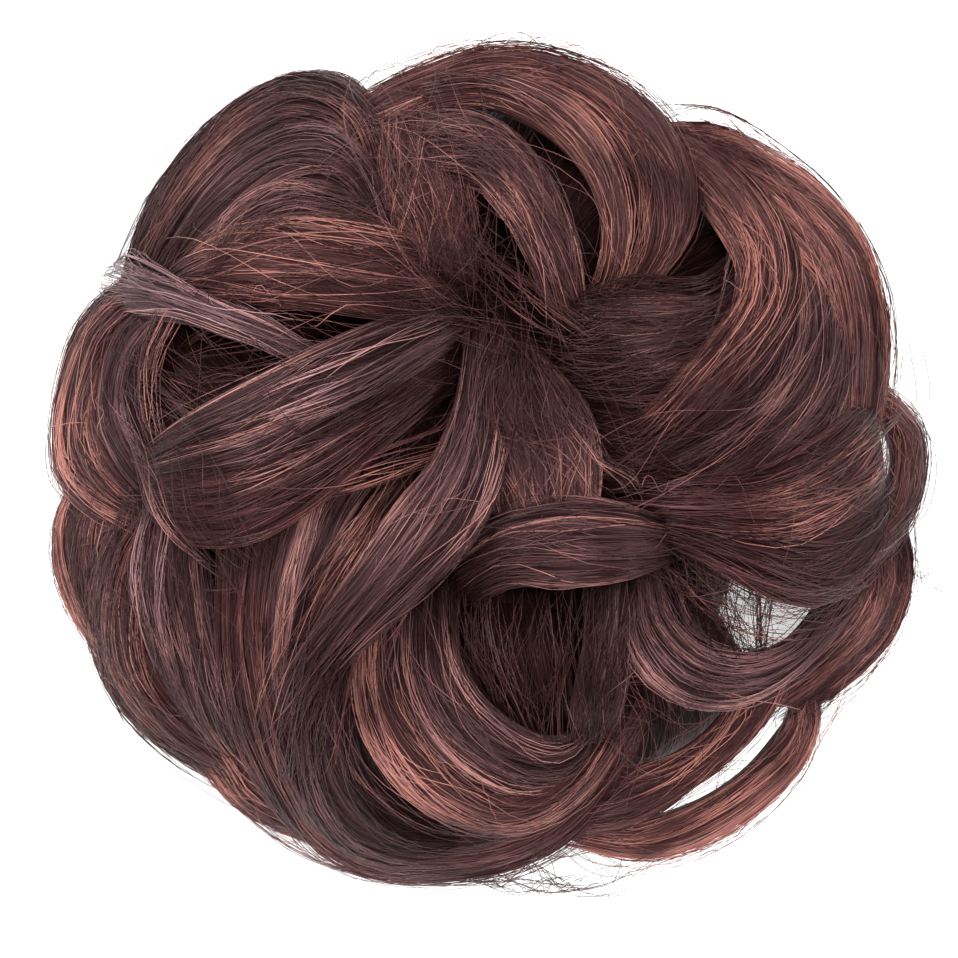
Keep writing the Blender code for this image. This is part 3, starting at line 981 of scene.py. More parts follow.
@dataclass(frozen=True)
class HairStreaks:
    """Fine, middle and broad streaks along the flow of a lock, as a shader group."""

    across: tuple[float, ...] = (4200.0, 1300.0, 330.0)
    along: tuple[float, ...] = (50.0, 22.0, 12.0)
    shares: tuple[float, ...] = (0.44, 0.32, 0.24)
    levels: tuple[float, float] = (0.34, 0.66)
    sway: float = 0.0016
    sway_scales: tuple[float, float] = (28.0, 150.0)
    detail: float = 1.5
    contrast: float = 1.6

    def group(self) -> NodeTree:
        """Group that turns a flow and a lot number into streaks.

        Returns:
            The group, built once.
        """
        found = bpy.data.node_groups.get("hair streaks")
        if found:
            return found
        b = GroupBuilder("hair streaks", "ShaderNodeTree")
        b.takes("NodeSocketVector", "Flow")
        b.takes("NodeSocketFloat", "Lot")
        b.gives("NodeSocketFloat", "Streak")
        flow = b.node("ShaderNodeSeparateXYZ", {0: b.given("Flow")}).outputs
        sway = b.minus(self._noise(b, (flow[0], flow[1]), self.sway_scales), 0.5)
        beside = b.fused(sway, self.sway * 2, flow[1])
        streak: object = 0.0
        for across, along, share in zip(self.across, self.along, self.shares):
            noise = self._noise(b, (flow[0], beside), (along, across))
            level = b.range(noise, *self.levels)
            streak = b.fused(level, share, streak)
        return b.end(b.power(streak, self.contrast))

    def _noise(self, b: GroupBuilder, flow: tuple[NodeSocket, NodeSocket],
               scales: tuple[float, float]) -> NodeSocket:
        """Noise over a flow, drawn out along it.

        Args:
            b: the group under construction.
            flow: places along the flow and beside it.
            scales: the noise's scales along the flow and across it.

        Returns:
            The noise.
        """
        x, y = (b.times(place, scale) for place, scale in zip(flow, scales))
        place = b.out("ShaderNodeCombineXYZ", {0: x, 1: y, 2: b.given("Lot")})
        return b.out("ShaderNodeTexNoise", {"Vector": place, "Scale": 1.0, "Detail": self.detail})


@dataclass(frozen=True)
class Finish:
    """A material, built at its first use."""

    name: str = ""

    def material(self) -> Material:
        """The finished material.

        Returns:
            The material, built once.
        """
        found = bpy.data.materials.get(self.name)
        if found:
            return found
        b = FinishBuilder(self.name)
        self.wire(b)
        return b.material

    def wire(self, b: FinishBuilder) -> None:
        """Wire the nodes of the material that is under construction."""
        raise NotImplementedError


@dataclass(frozen=True)
class StrandFinish(Finish):
    """Satin synthetic hair: each strand keeps its own tint."""

    name: str = "hair strands"
    roughness: float = 0.33
    roughness_swing: float = 0.10
    roughness_scale: float = 260.0
    specular: float = 0.35
    specular_tint: Colour = (1.0, 0.57, 0.61)
    patch_scale: float = 75.0
    patch_swing: float = 0.30
    patch_levels: tuple[float, float] = (0.35, 0.65)

    def wire(self, b: FinishBuilder) -> None:
        """Wire the strand's own tint and its ash grey, partly painted sheen, in patches, and an
        uneven roughness.

        Args:
            b: the material under construction.
        """
        patches = b.range(b.noise(self.patch_scale), *self.patch_levels,
                          1.0 - self.patch_swing, 1.0 + self.patch_swing)
        colour = b.group(PALETTE.group(), {"Tint": b.times(b.attribute("tint"), patches),
                                           "Ash_sheen": b.attribute("ash")})
        rough = b.range(b.noise(self.roughness_scale), 0.0, 1.0,
                        self.roughness - self.roughness_swing,
                        self.roughness + self.roughness_swing)
        b.dress({"Base Color": colour, "Roughness": rough, "Specular IOR Level": self.specular,
                 "Specular Tint": (*self.specular_tint, 1.0)})


@dataclass(frozen=True)
class BackingFinish(Finish):
    """Depth of a lock under its strands: fine streaks along the flow, kept darker than the strands
    as painted shade between and under them.
    """

    name: str = "hair backing"
    roughness: float = 0.42
    specular: float = 0.08
    specular_tint: Colour = (1.0, 0.55, 0.55)
    # share of the tint range that the backing reaches; below 1 it stays darker than the strands, as
    # painted shade
    reach: float = 0.64
    bump: float = 0.9
    depth: float = 0.0005

    def wire(self, b: FinishBuilder) -> None:
        """Wire the streaks to the colour and the bump.

        Args:
            b: the material under construction.
        """
        flow = b.node("ShaderNodeUVMap", {}, uv_map="flow").outputs["UV"]
        streak = b.group(HairStreaks().group(), {"Flow": flow, "Lot": b.attribute("lot")})
        tint = b.range(streak, 0.0, 1.0 / self.reach, b.attribute("tint"),
                       b.attribute("tint_top"))
        colour = b.group(PALETTE.group(), {"Tint": tint, "Ash_sheen": b.attribute("ash")})
        bump = b.out("ShaderNodeBump", {"Strength": self.bump, "Distance": self.depth,
                                        "Height": streak})
        b.dress({"Base Color": colour, "Roughness": self.roughness, "Normal": bump,
                 "Specular IOR Level": self.specular,
                 "Specular Tint": (*self.specular_tint, 1.0)})

    def dress(self, mesh: Mesh, tone: Tone, lot: float, gleam: Gleam = PLAIN) -> Mesh:
        """Give a backing body its colours and its material.

        Args:
            mesh: the body.
            tone: its colours.
            lot: number that sets its streaks apart from those of other locks.
            gleam: lit band across it.

        Returns:
            The same mesh.
        """
        count = len(mesh.vertices)
        along = mesh.attributes.get("along")
        lit = [gleam.factor(item.value) for item in along.data] if along else [1.0] * count
        if along:
            mesh.attributes.remove(along)
        low, high, ash = tone.value
        for name, values in (("tint", [low * share for share in lit]),
                             ("tint_top", [high * share for share in lit]),
                             ("ash", [ash] * count), ("lot", [lot] * count)):
            mesh.attributes.new(name, "FLOAT", "POINT").data.foreach_set("value", values)
        mesh.materials.append(self.material())
        return mesh


@dataclass(frozen=True)
class BandFinish(Finish):
    """Matt black covered elastic, its threads a little uneven."""

    name: str = "elastic cover"
    dark: Colour = (0.008, 0.007, 0.008)
    pale: Colour = (0.035, 0.030, 0.031)
    roughness: float = 0.72
    sheen: float = 0.25
    thread_scale: float = 900.0
    bump: float = 0.4
    depth: float = 0.0002

    def wire(self, b: FinishBuilder) -> None:
        """Wire one noise to the colour and the bump.

        Args:
            b: the material under construction.
        """
        uneven = b.noise(self.thread_scale)
        bump = b.out("ShaderNodeBump", {"Strength": self.bump, "Distance": self.depth,
                                        "Height": uneven})
        b.dress({"Base Color": b.mix(uneven, (*self.dark, 1.0), (*self.pale, 1.0)),
                 "Roughness": self.roughness, "Sheen Weight": self.sheen, "Normal": bump})


@dataclass(frozen=True)
class PaperFinish(Finish):
    """Bright white paper of the studio's floor."""

    name: str = "floor paper"
    colour: Colour = (0.92, 0.92, 0.92)
    roughness: float = 0.9
    specular: float = 0.1
    glow: float = 0.50

    def wire(self, b: FinishBuilder) -> None:
        """Set the shader.

        Args:
            b: the material under construction.
        """
        b.dress({"Base Color": (*self.colour, 1.0), "Roughness": self.roughness,
                 "Specular IOR Level": self.specular, "Emission Color": (1.0, 1.0, 1.0, 1.0),
                 "Emission Strength": self.glow})


COMB = StrandComb()


def lock_sheet(lock: HairLock) -> Sheet:
    """Sheet of a lock, its two ends carried on and down into the hair.

    Args:
        lock: the lock.

    Returns:
        The sheet, in metres.
    """
    last = len(lock.rows) - 1
    edges: Edges = ([], [])
    for index, row in enumerate(lock.rows):
        along = index / last
        sink = FORM.sink(lock.start_dip, along)
        sink += FORM.sink(lock.end_dip, 1.0 - along)
        for edge, across, up in zip(edges, row[0::2], row[1::2]):
            height = FORM.height_at(across / 100, up / 100)
            height += FORM.height * (lock.level - sink) / 100
            edge.append(Vector((across / 200 * FORM.width, up / 200 * FORM.depth, height)))
    first, second = edges
    for end, beside, tuck in ((0, 1, lock.tuck[0]), (-1, -2, lock.tuck[1])):
        middle = (first[end] + second[end]) / 2
        ahead = (middle - (first[beside] + second[beside]) / 2).normalized()
        tip = middle + ahead * tuck - Vector((0, 0, tuck * FORM.tuck_fall))
        half = (second[end] - first[end]) * lock.fan
        for edge, side in ((first, -1), (second, 1)):
            edge.insert(0 if end == 0 else len(edge), tip + half * side)
    return Sheet(first, second, spread=lock.spread)


@dataclass
class BunPart:
    """A sub-assembly of the bun that is made, dressed and hung as one piece."""

    name: str = ""
    slot: str = "hair_black"

    def meshes(self) -> list[Mesh]:
        """The piece's meshes, each with its material."""
        raise NotImplementedError

    def stands_for(self) -> list[str]:
        """Names of the CAD nodes that the piece replaces."""
        raise NotImplementedError

    def build(self) -> Object:
        """Make the piece as one object at the origin."""
        return joined(self.name, self.meshes())

    def hang(self, piece: Object) -> None:
        """Hang the finished piece on the root and hide the frame's parts that it stands for.

        Args:
            piece: the piece.
        """
        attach(piece, "root")
        if self.stands_for():
            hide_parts(*self.stands_for())


@dataclass
class HairPiece(BunPart):
    """A group of locks."""

    seed: int = 0
    backing: bool = True
    locks: tuple[HairLock, ...] = ()
    seed_step: int = 100
    veil_seed: int = 50
    veil_lift: float = 0.0005
    girth_per_width: float = 1.25

    def meshes(self) -> list[Mesh]:
        """Meshes of all the locks, in order."""
        return [mesh for number, lock in enumerate(self.locks)
                for mesh in self.lock_meshes(lock, self.seed + self.seed_step * number)]

    def stands_for(self) -> list[str]:
        """Names of the locks, or none for loose hair."""
        return [lock.name for lock in self.locks] if self.backing else []

    def lock_meshes(self, lock: HairLock, seed: int) -> list[Mesh]:
        """Backing and strands of one lock.

        Args:
            lock: the lock.
            seed: its seed.

        Returns:
            The meshes, each with its material.
        """
        sheet = lock_sheet(lock)
        girth = sheet.width * sheet.spread * self.girth_per_width
        meshes = [COMB.comb(sheet.grid(lock.name), sheet.length, girth, lock.style, lock.tone,
                            seed, lock.gleam)]
        if self.backing:
            backing = sheet.body(lock.name + "_backing", filled=lock.filled)
            lot = seed / self.seed_step
            meshes.append(BackingFinish().dress(backing, lock.tone, lot, lock.gleam))
            sheet.crown += self.veil_lift
            meshes.append(COMB.comb(sheet.grid(lock.name), sheet.length, girth, VEIL, lock.tone,
                                    seed + self.veil_seed, lock.gleam))
        return meshes


@dataclass
class TopLeftLobe(HairPiece):
    """The lobe at the top left and the two locks under its edge."""

    name: str = "top_left_lobe"
    slot: str = "hair_brown"
    seed: int = 11000
    locks: tuple[HairLock, ...] = (
        HairLock("top_left_outer", Tone.BROWN, -8, 16, 6, (
            (-18, 50, -23, 50), (-23, 74, -30, 70), (-33, 88, -37, 76), (-48, 88, -47, 75),
            (-64, 78, -59, 68), (-77, 62, -70, 55), (-83, 48, -77, 45))),
        HairLock("top_left_middle", Tone.PLUM, -6, 16, 6, (
            (-19, 48, -25, 48), (-26, 66, -31, 60), (-36, 76, -37, 64), (-48, 75, -46, 63),
            (-60, 68, -54, 57), (-70, 57, -63, 50), (-77, 46, -70, 42))),
        HairLock("top_left_inner", Tone.PLUM, -8, 16, 8, (
            (-22, 48, -27, 47), (-28, 60, -32, 54), (-37, 65, -38, 55), (-46, 64, -45, 53),
            (-55, 58, -53, 49), (-62, 51, -60, 45))),
        # this lock's pale grey is painted sheen where it turns over the left edge
        HairLock("pale_lock", Tone.GREY_SHEEN, -5, 6, 12, (
            (-84, 49, -89, 36), (-78, 45, -81, 34), (-69, 42, -71, 33), (-60, 38, -62, 30),
            (-51, 34, -53, 27), (-43, 29, -45, 23), (-35, 25, -37, 20)),
            style=WISPY, spread=1.0, filled=(0.12, 0.85)),
        HairLock("side_copper", Tone.COPPER, -2, 14, 6, (
            (-11, 49, -11, 36), (-24, 53, -24, 36), (-37, 55, -38, 38), (-50, 55, -51, 39),
            (-62, 52, -62, 40), (-72, 45, -71, 41)),
            style=WISPY, filled=(0.0, 0.92), gleam=Gleam(0.55, 0.7)),
    )


@dataclass
class LeftCurls(HairPiece):
    """The curls down the left edge."""

    name: str = "left_curls"
    slot: str = "hair_copper"
    seed: int = 12000
    locks: tuple[HairLock, ...] = (
        HairLock("left_low_back", Tone.COPPER, -14, 6, 4, (
            (-95, -2, -85, -2), (-99, -12, -87, -12), (-100, -22, -88, -22), (-97, -32, -86, -32),
            (-91, -41, -81, -40), (-84, -48, -76, -46))),
        HairLock("small_lobe", Tone.COPPER, -16, 8, 4, (
            (-72, -64, -63, -60), (-65, -71, -58, -65), (-59, -78, -53, -71), (-51, -83, -47, -76),
            (-42, -87, -40, -80))),
        HairLock("left_outer", Tone.COPPER, -8, 4, 6, (
            (-85, 42, -79, 38), (-94, 33, -87, 30), (-98, 21, -91, 19), (-100, 8, -92, 8),
            (-99, -3, -89, 0), (-93, -10, -84, -6), (-85, -14, -79, -9))),
        HairLock("left_inner", Tone.PLUM, -10, 6, 8, (
            (-80, 38, -73, 35), (-88, 30, -79, 28), (-91, 19, -82, 19), (-91, 9, -82, 11),
            (-87, 0, -79, 4), (-82, -5, -76, -2), (-77, -9, -73, -6))),
        HairLock("low_left_outer", Tone.RUST, -9, 8, 8, (
            (-78, -6, -74, -10), (-88, -16, -79, -20), (-92, -30, -81, -32), (-90, -44, -79, -43),
            (-84, -56, -74, -53), (-75, -65, -67, -60), (-64, -72, -58, -66))),
        HairLock("low_left_inner", Tone.PLUM, -8, 10, 8, (
            (-77, -13, -68, -13), (-79, -26, -67, -26), (-77, -38, -64, -38), (-73, -50, -60, -49),
            (-67, -60, -58, -58), (-62, -67, -58, -64))),
    )


@dataclass
class BigCurls(HairPiece):
    """The two big curls from the middle to the left."""

    name: str = "big_curls"
    slot: str = "hair_plum"
    seed: int = 13000
    locks: tuple[HairLock, ...] = (
        HairLock("big_curl_low", Tone.BROWN, -3, 14, 10, (
            (-9, 30, -8, 21), (-20, 23, -18, 12), (-30, 15, -28, 3), (-41, 8, -38, -6),
            (-52, 3, -50, -14), (-64, 0, -62, -17), (-74, 0, -72, -15), (-80, -3, -78, -10)),
            gleam=Gleam(0.6, 1.2)),
        HairLock("big_curl_high", Tone.PLUM, 1, 14, 10, (
            (-10, 37, -9, 29), (-22, 33, -20, 22), (-33, 28, -31, 14), (-45, 22, -42, 8),
            (-57, 16, -54, 2), (-69, 10, -66, -1), (-78, 4, -77, -3)), gleam=Gleam(0.58, 1.4)),
    )


@dataclass
class LongSweeps(HairPiece):
    """The sweeps from the middle down to the bottom left."""

    name: str = "long_sweeps"
    slot: str = "hair_copper"
    seed: int = 14000
    locks: tuple[HairLock, ...] = (
        HairLock("left_copper", Tone.BROWN, -8, 10, 6, (
            (-61, -11, -53, -10), (-61, -27, -55, -26), (-61, -41, -55, -40), (-59, -55, -54, -53),
            (-55, -68, -49, -65), (-49, -79, -44, -76), (-44, -86, -40, -82))),
        HairLock("mid_copper", Tone.BROWN, -6, 10, 6, (
            (-53, -9, -43, -7), (-55, -25, -47, -23), (-56, -39, -49, -38), (-54, -53, -48, -52),
            (-51, -66, -45, -65), (-46, -77, -41, -76), (-42, -86, -37, -83))),
        HairLock("mid_sheen", Tone.PLUM, -4, 14, 6, (
            (-43, -5, -25, 1), (-46, -18, -33, -12), (-49, -29, -39, -23), (-50, -41, -43, -35),
            (-50, -53, -45, -47), (-48, -64, -44, -58)), gleam=Gleam(0.35, 0.9)),
        HairLock("mid_sweep", Tone.BROWN, -6, 12, 4, (
            (-22, -6, -11, -5), (-30, -15, -19, -15), (-37, -24, -27, -26), (-43, -33, -34, -36),
            (-47, -43, -41, -46), (-50, -53, -46, -55)), style=WISPY, gleam=Gleam(0.5, 0.6)),
        HairLock("centre_sweep", Tone.PLUM, 3, 12, 10, (
            (-5, 27, 3, 24), (-7, 13, 3, 9), (-12, 0, 0, -5), (-21, -12, -7, -18),
            (-30, -25, -17, -29), (-38, -36, -28, -39), (-45, -47, -39, -49), (-51, -58, -47, -59)),
            style=WISPY, fan=0.6, filled=(0.0, 0.8), gleam=Gleam(0.38, 1.1)),
    )


@dataclass
class CentreTuft(HairPiece):
    """The upright tuft in the middle, the roll across its foot and its shadow side."""

    name: str = "centre_tuft"
    slot: str = "hair_copper"
    seed: int = 15000
    locks: tuple[HairLock, ...] = (
        HairLock("right_shadow", Tone.BLACK, -15, 6, 2, (
            (20, 30, 22, 1), (29, 28, 29, -1), (37, 24, 37, -2), (45, 19, 45, 1))),
        HairLock("centre_brush", Tone.BLUSH, -1, 10, 4, (
            (0, 28, 10, 24), (-1, 16, 18, 16), (1, 5, 22, 7), (3, -4, 23, -3), (5, -14, 22, -14)),
            style=WISPY, gleam=Gleam(0.8, 1.2)),
        HairLock("cross_roll", Tone.ROSE, 2, 14, 12, (
            (40, -14, 40, -22), (29, -11, 29, -25), (17, -10, 17, -26), (5, -13, 6, -26),
            (-4, -19, -2, -30)), gleam=Gleam(0.48, 0.9)),
    )


@dataclass
class TopCurl(HairPiece):
    """The curl along the top edge and what lies inside it."""

    name: str = "top_curl"
    slot: str = "hair_copper"
    seed: int = 16000
    locks: tuple[HairLock, ...] = (
        HairLock("top_outer", Tone.GLOW, -6, 4, 20, (
            (-28, 86, -24, 79), (-14, 92, -13, 83), (0, 95.6, 0, 87), (14, 94.6, 12, 86),
            (28, 89, 23, 80), (39, 80, 31, 71), (46, 68, 35, 62), (46, 56, 35, 52),
            (38, 44, 30, 43), (25, 34, 22, 38)),
            style=WISPY, filled=(0.0, 0.92), gleam=Gleam(0.2, 0.5)),
        HairLock("top_messy", Tone.COPPER, -9, 6, 8, (
            (-25, 83, -9, 81), (-24, 70, -8, 69), (-21, 58, -6, 57), (-18, 50, -5, 48),
            (-15, 43, -5, 41)), style=MESSY, gleam=Gleam(0.45, 0.5)),
        HairLock("top_inner_arc", Tone.BLUSH, -4, 4, 16, (
            (-14, 80, -13, 68), (-3, 79, -3, 66), (6, 73, 2, 61), (13, 64, 7, 54), (18, 53, 11, 46),
            (20, 43, 14, 38), (21, 35, 17, 32)),
            style=WISPY, filled=(0.0, 0.85), gleam=Gleam(0.45, 0.7)),
        HairLock("top_bright", Tone.GLOW, -1, 4, 18, (
            (-14, 88, -13, 83), (0, 90, -1, 84), (12, 87, 9, 80), (22, 80, 17, 74),
            (29, 69, 23, 66), (32, 57, 26, 56), (31, 46, 25, 46), (26, 37, 22, 38)),
            style=WISPY, spread=1.05, filled=(0.0, 0.85)),
    )


@dataclass
class RightCurls(HairPiece):
    """The curls of the upper right side."""

    name: str = "right_curls"
    slot: str = "hair_copper"
    seed: int = 17000
    locks: tuple[HairLock, ...] = (
        HairLock("right_upper_outer", Tone.GLOW, -8, 8, 6, (
            (41, 78, 42, 69), (52, 77, 50, 66), (63, 72, 59, 61), (75, 64, 68, 54),
            (85, 52, 76, 44), (90, 38, 80, 32), (91, 24, 81, 20), (90, 12, 81, 9))),
        HairLock("right_flank", Tone.PLUM, -9, 8, 16, (
            (72, 56, 61, 51), (80, 42, 67, 42), (82, 28, 68, 32), (80, 14, 64, 22), (72, 3, 57, 14),
            (60, -3, 48, 9), (47, -6, 40, 4), (35, -8, 33, 0)), gleam=Gleam(0.25, 0.9)),
        HairLock("right_inner_arcs", Tone.PLUM, -13, 10, 6, (
            (19, 37, 19, 22), (31, 38, 31, 19), (42, 38, 42, 21), (51, 38, 53, 26),
            (57, 42, 61, 35), (60, 48, 65, 43)), gleam=Gleam(0.35, 1.0)),
        HairLock("right_swirl", Tone.COPPER, -2, 8, 18, (
            (44, 77, 43, 70), (55, 70, 50, 62), (64, 60, 56, 53), (69, 48, 59, 46),
            (69, 36, 58, 37), (63, 24, 52, 28), (53, 13, 43, 18), (42, 5, 35, 10), (31, -1, 28, 4)),
            style=WISPY, fan=0.6, filled=(0.0, 0.82), gleam=Gleam(0.3, 0.9)),
    )


@dataclass
class RightFan(HairPiece):
    """The fan to the right edge, the loop beyond it and the curl below."""

    name: str = "right_fan_hair"
    slot: str = "hair_copper"
    seed: int = 18000
    locks: tuple[HairLock, ...] = (
        HairLock("right_low_back", Tone.COPPER, -14, 4, 4, (
            (95, -12, 85, -12), (97, -22, 87, -22), (96, -31, 86, -31), (92, -40, 81, -39),
            (86, -47, 75, -45), (77, -54, 68, -50))),
        HairLock("ear_loop", Tone.GLOW, -10, 4, 8, (
            (84, -27, 80, -22), (93, -20, 88, -16), (99, -10, 95, -9), (102, 1, 97, 1),
            (100, 9, 96, 7), (95, 16, 92, 12), (88, 20, 86, 15)),
            style=WISPY, spread=0.8, gleam=Gleam(0.5, 0.2)),
        HairLock("right_low_swirl", Tone.PLUM, -8, 14, 6, (
            (32, -25, 39, -22), (31, -38, 40, -35), (36, -48, 46, -42), (46, -54, 54, -45),
            (58, -54, 62, -45), (69, -48, 70, -42), (79, -39, 76, -36), (88, -28, 83, -26)),
            gleam=Gleam(0.35, 0.8)),
        HairLock("right_fan", Tone.BROWN, -3, 14, 10, (
            (34, -7, 36, -15), (47, -5, 47, -19), (59, -4, 58, -24), (69, -1, 69, -28),
            (78, 4, 79, -27), (85, 9, 87, -19), (88, 12, 89, -8)),
            tuck=(0.006, 0.001), filled=(0.0, 0.94), gleam=Gleam(0.62, 0.6)),
    )


@dataclass
class BottomSwirls(HairPiece):
    """The nested swirls along the bottom edge."""

    name: str = "bottom_swirls"
    slot: str = "hair_plum"
    seed: int = 19000
    locks: tuple[HairLock, ...] = (
        HairLock("low_centre", Tone.BLACK, -17, 8, 4, (
            (-4, -32, 14, -33), (-2, -42, 16, -43), (3, -51, 17, -52), (9, -61, 18, -61))),
        HairLock("low_light", Tone.PLUM, -12, 8, 6, (
            (24, -28, 36, -26), (24, -38, 34, -37), (22, -48, 31, -48), (20, -57, 29, -57),
            (19, -64, 27, -62)), style=WISPY),
        HairLock("low_outer", Tone.GLOW, -9, 4, 10, (
            (-44, -84, -38, -77), (-36, -91, -30, -83), (-24, -95, -21, -87), (-10, -95, -10, -87),
            (3, -93, 1, -85), (15, -88, 11, -80), (25, -79, 20, -73), (32, -68, 27, -64)),
            gleam=Gleam(0.25, 0.5)),
        HairLock("low_grey", Tone.DUSK, -7, 10, 4, (
            (-42, -50, -30, -42), (-44, -63, -32, -55), (-42, -76, -31, -67), (-35, -86, -25, -77),
            (-24, -91, -17, -83), (-11, -92, -7, -84))),
        HairLock("low_swirl_inner", Tone.PLUM, -5, 14, 10, (
            (-21, -32, -9, -28), (-22, -48, -9, -43), (-18, -60, -5, -53), (-10, -69, 2, -60),
            (1, -75, 9, -64), (12, -75, 16, -65), (23, -69, 22, -61)), gleam=Gleam(0.5, 0.7)),
        HairLock("low_swirl_outer", Tone.COPPER, -2, 14, 10, (
            (-30, -36, -21, -33), (-30, -52, -22, -49), (-26, -65, -18, -60), (-17, -76, -11, -69),
            (-4, -83, -1, -75), (9, -83, 8, -76), (21, -76, 18, -71), (31, -64, 26, -62)),
            style=WISPY, fan=0.6, filled=(0.0, 0.88), gleam=Gleam(0.45, 0.6)),
    )


@dataclass
class LowRightCurls(HairPiece):
    """The low right curl and the thin loop outside it."""

    name: str = "low_right_curls"
    slot: str = "hair_copper"
    seed: int = 20000
    locks: tuple[HairLock, ...] = (
        HairLock("low_right_loop", Tone.GLOW, -16, 4, 4, (
            (77, -52, 70, -51), (77, -60, 72, -60), (73, -69, 68, -67), (66, -78, 61, -74),
            (57, -85, 52, -80), (46, -90, 42, -84), (34, -92, 32, -86), (21, -89, 20, -84)),
            spread=0.86),
        HairLock("low_right_inner", Tone.COPPER, -10, 4, 8, (
            (70, -50, 60, -49), (64, -60, 56, -57), (56, -68, 50, -64), (47, -75, 42, -69),
            (37, -82, 33, -72), (28, -85, 26, -76), (18, -86, 20, -80)), style=WISPY, spread=1.02),
    )


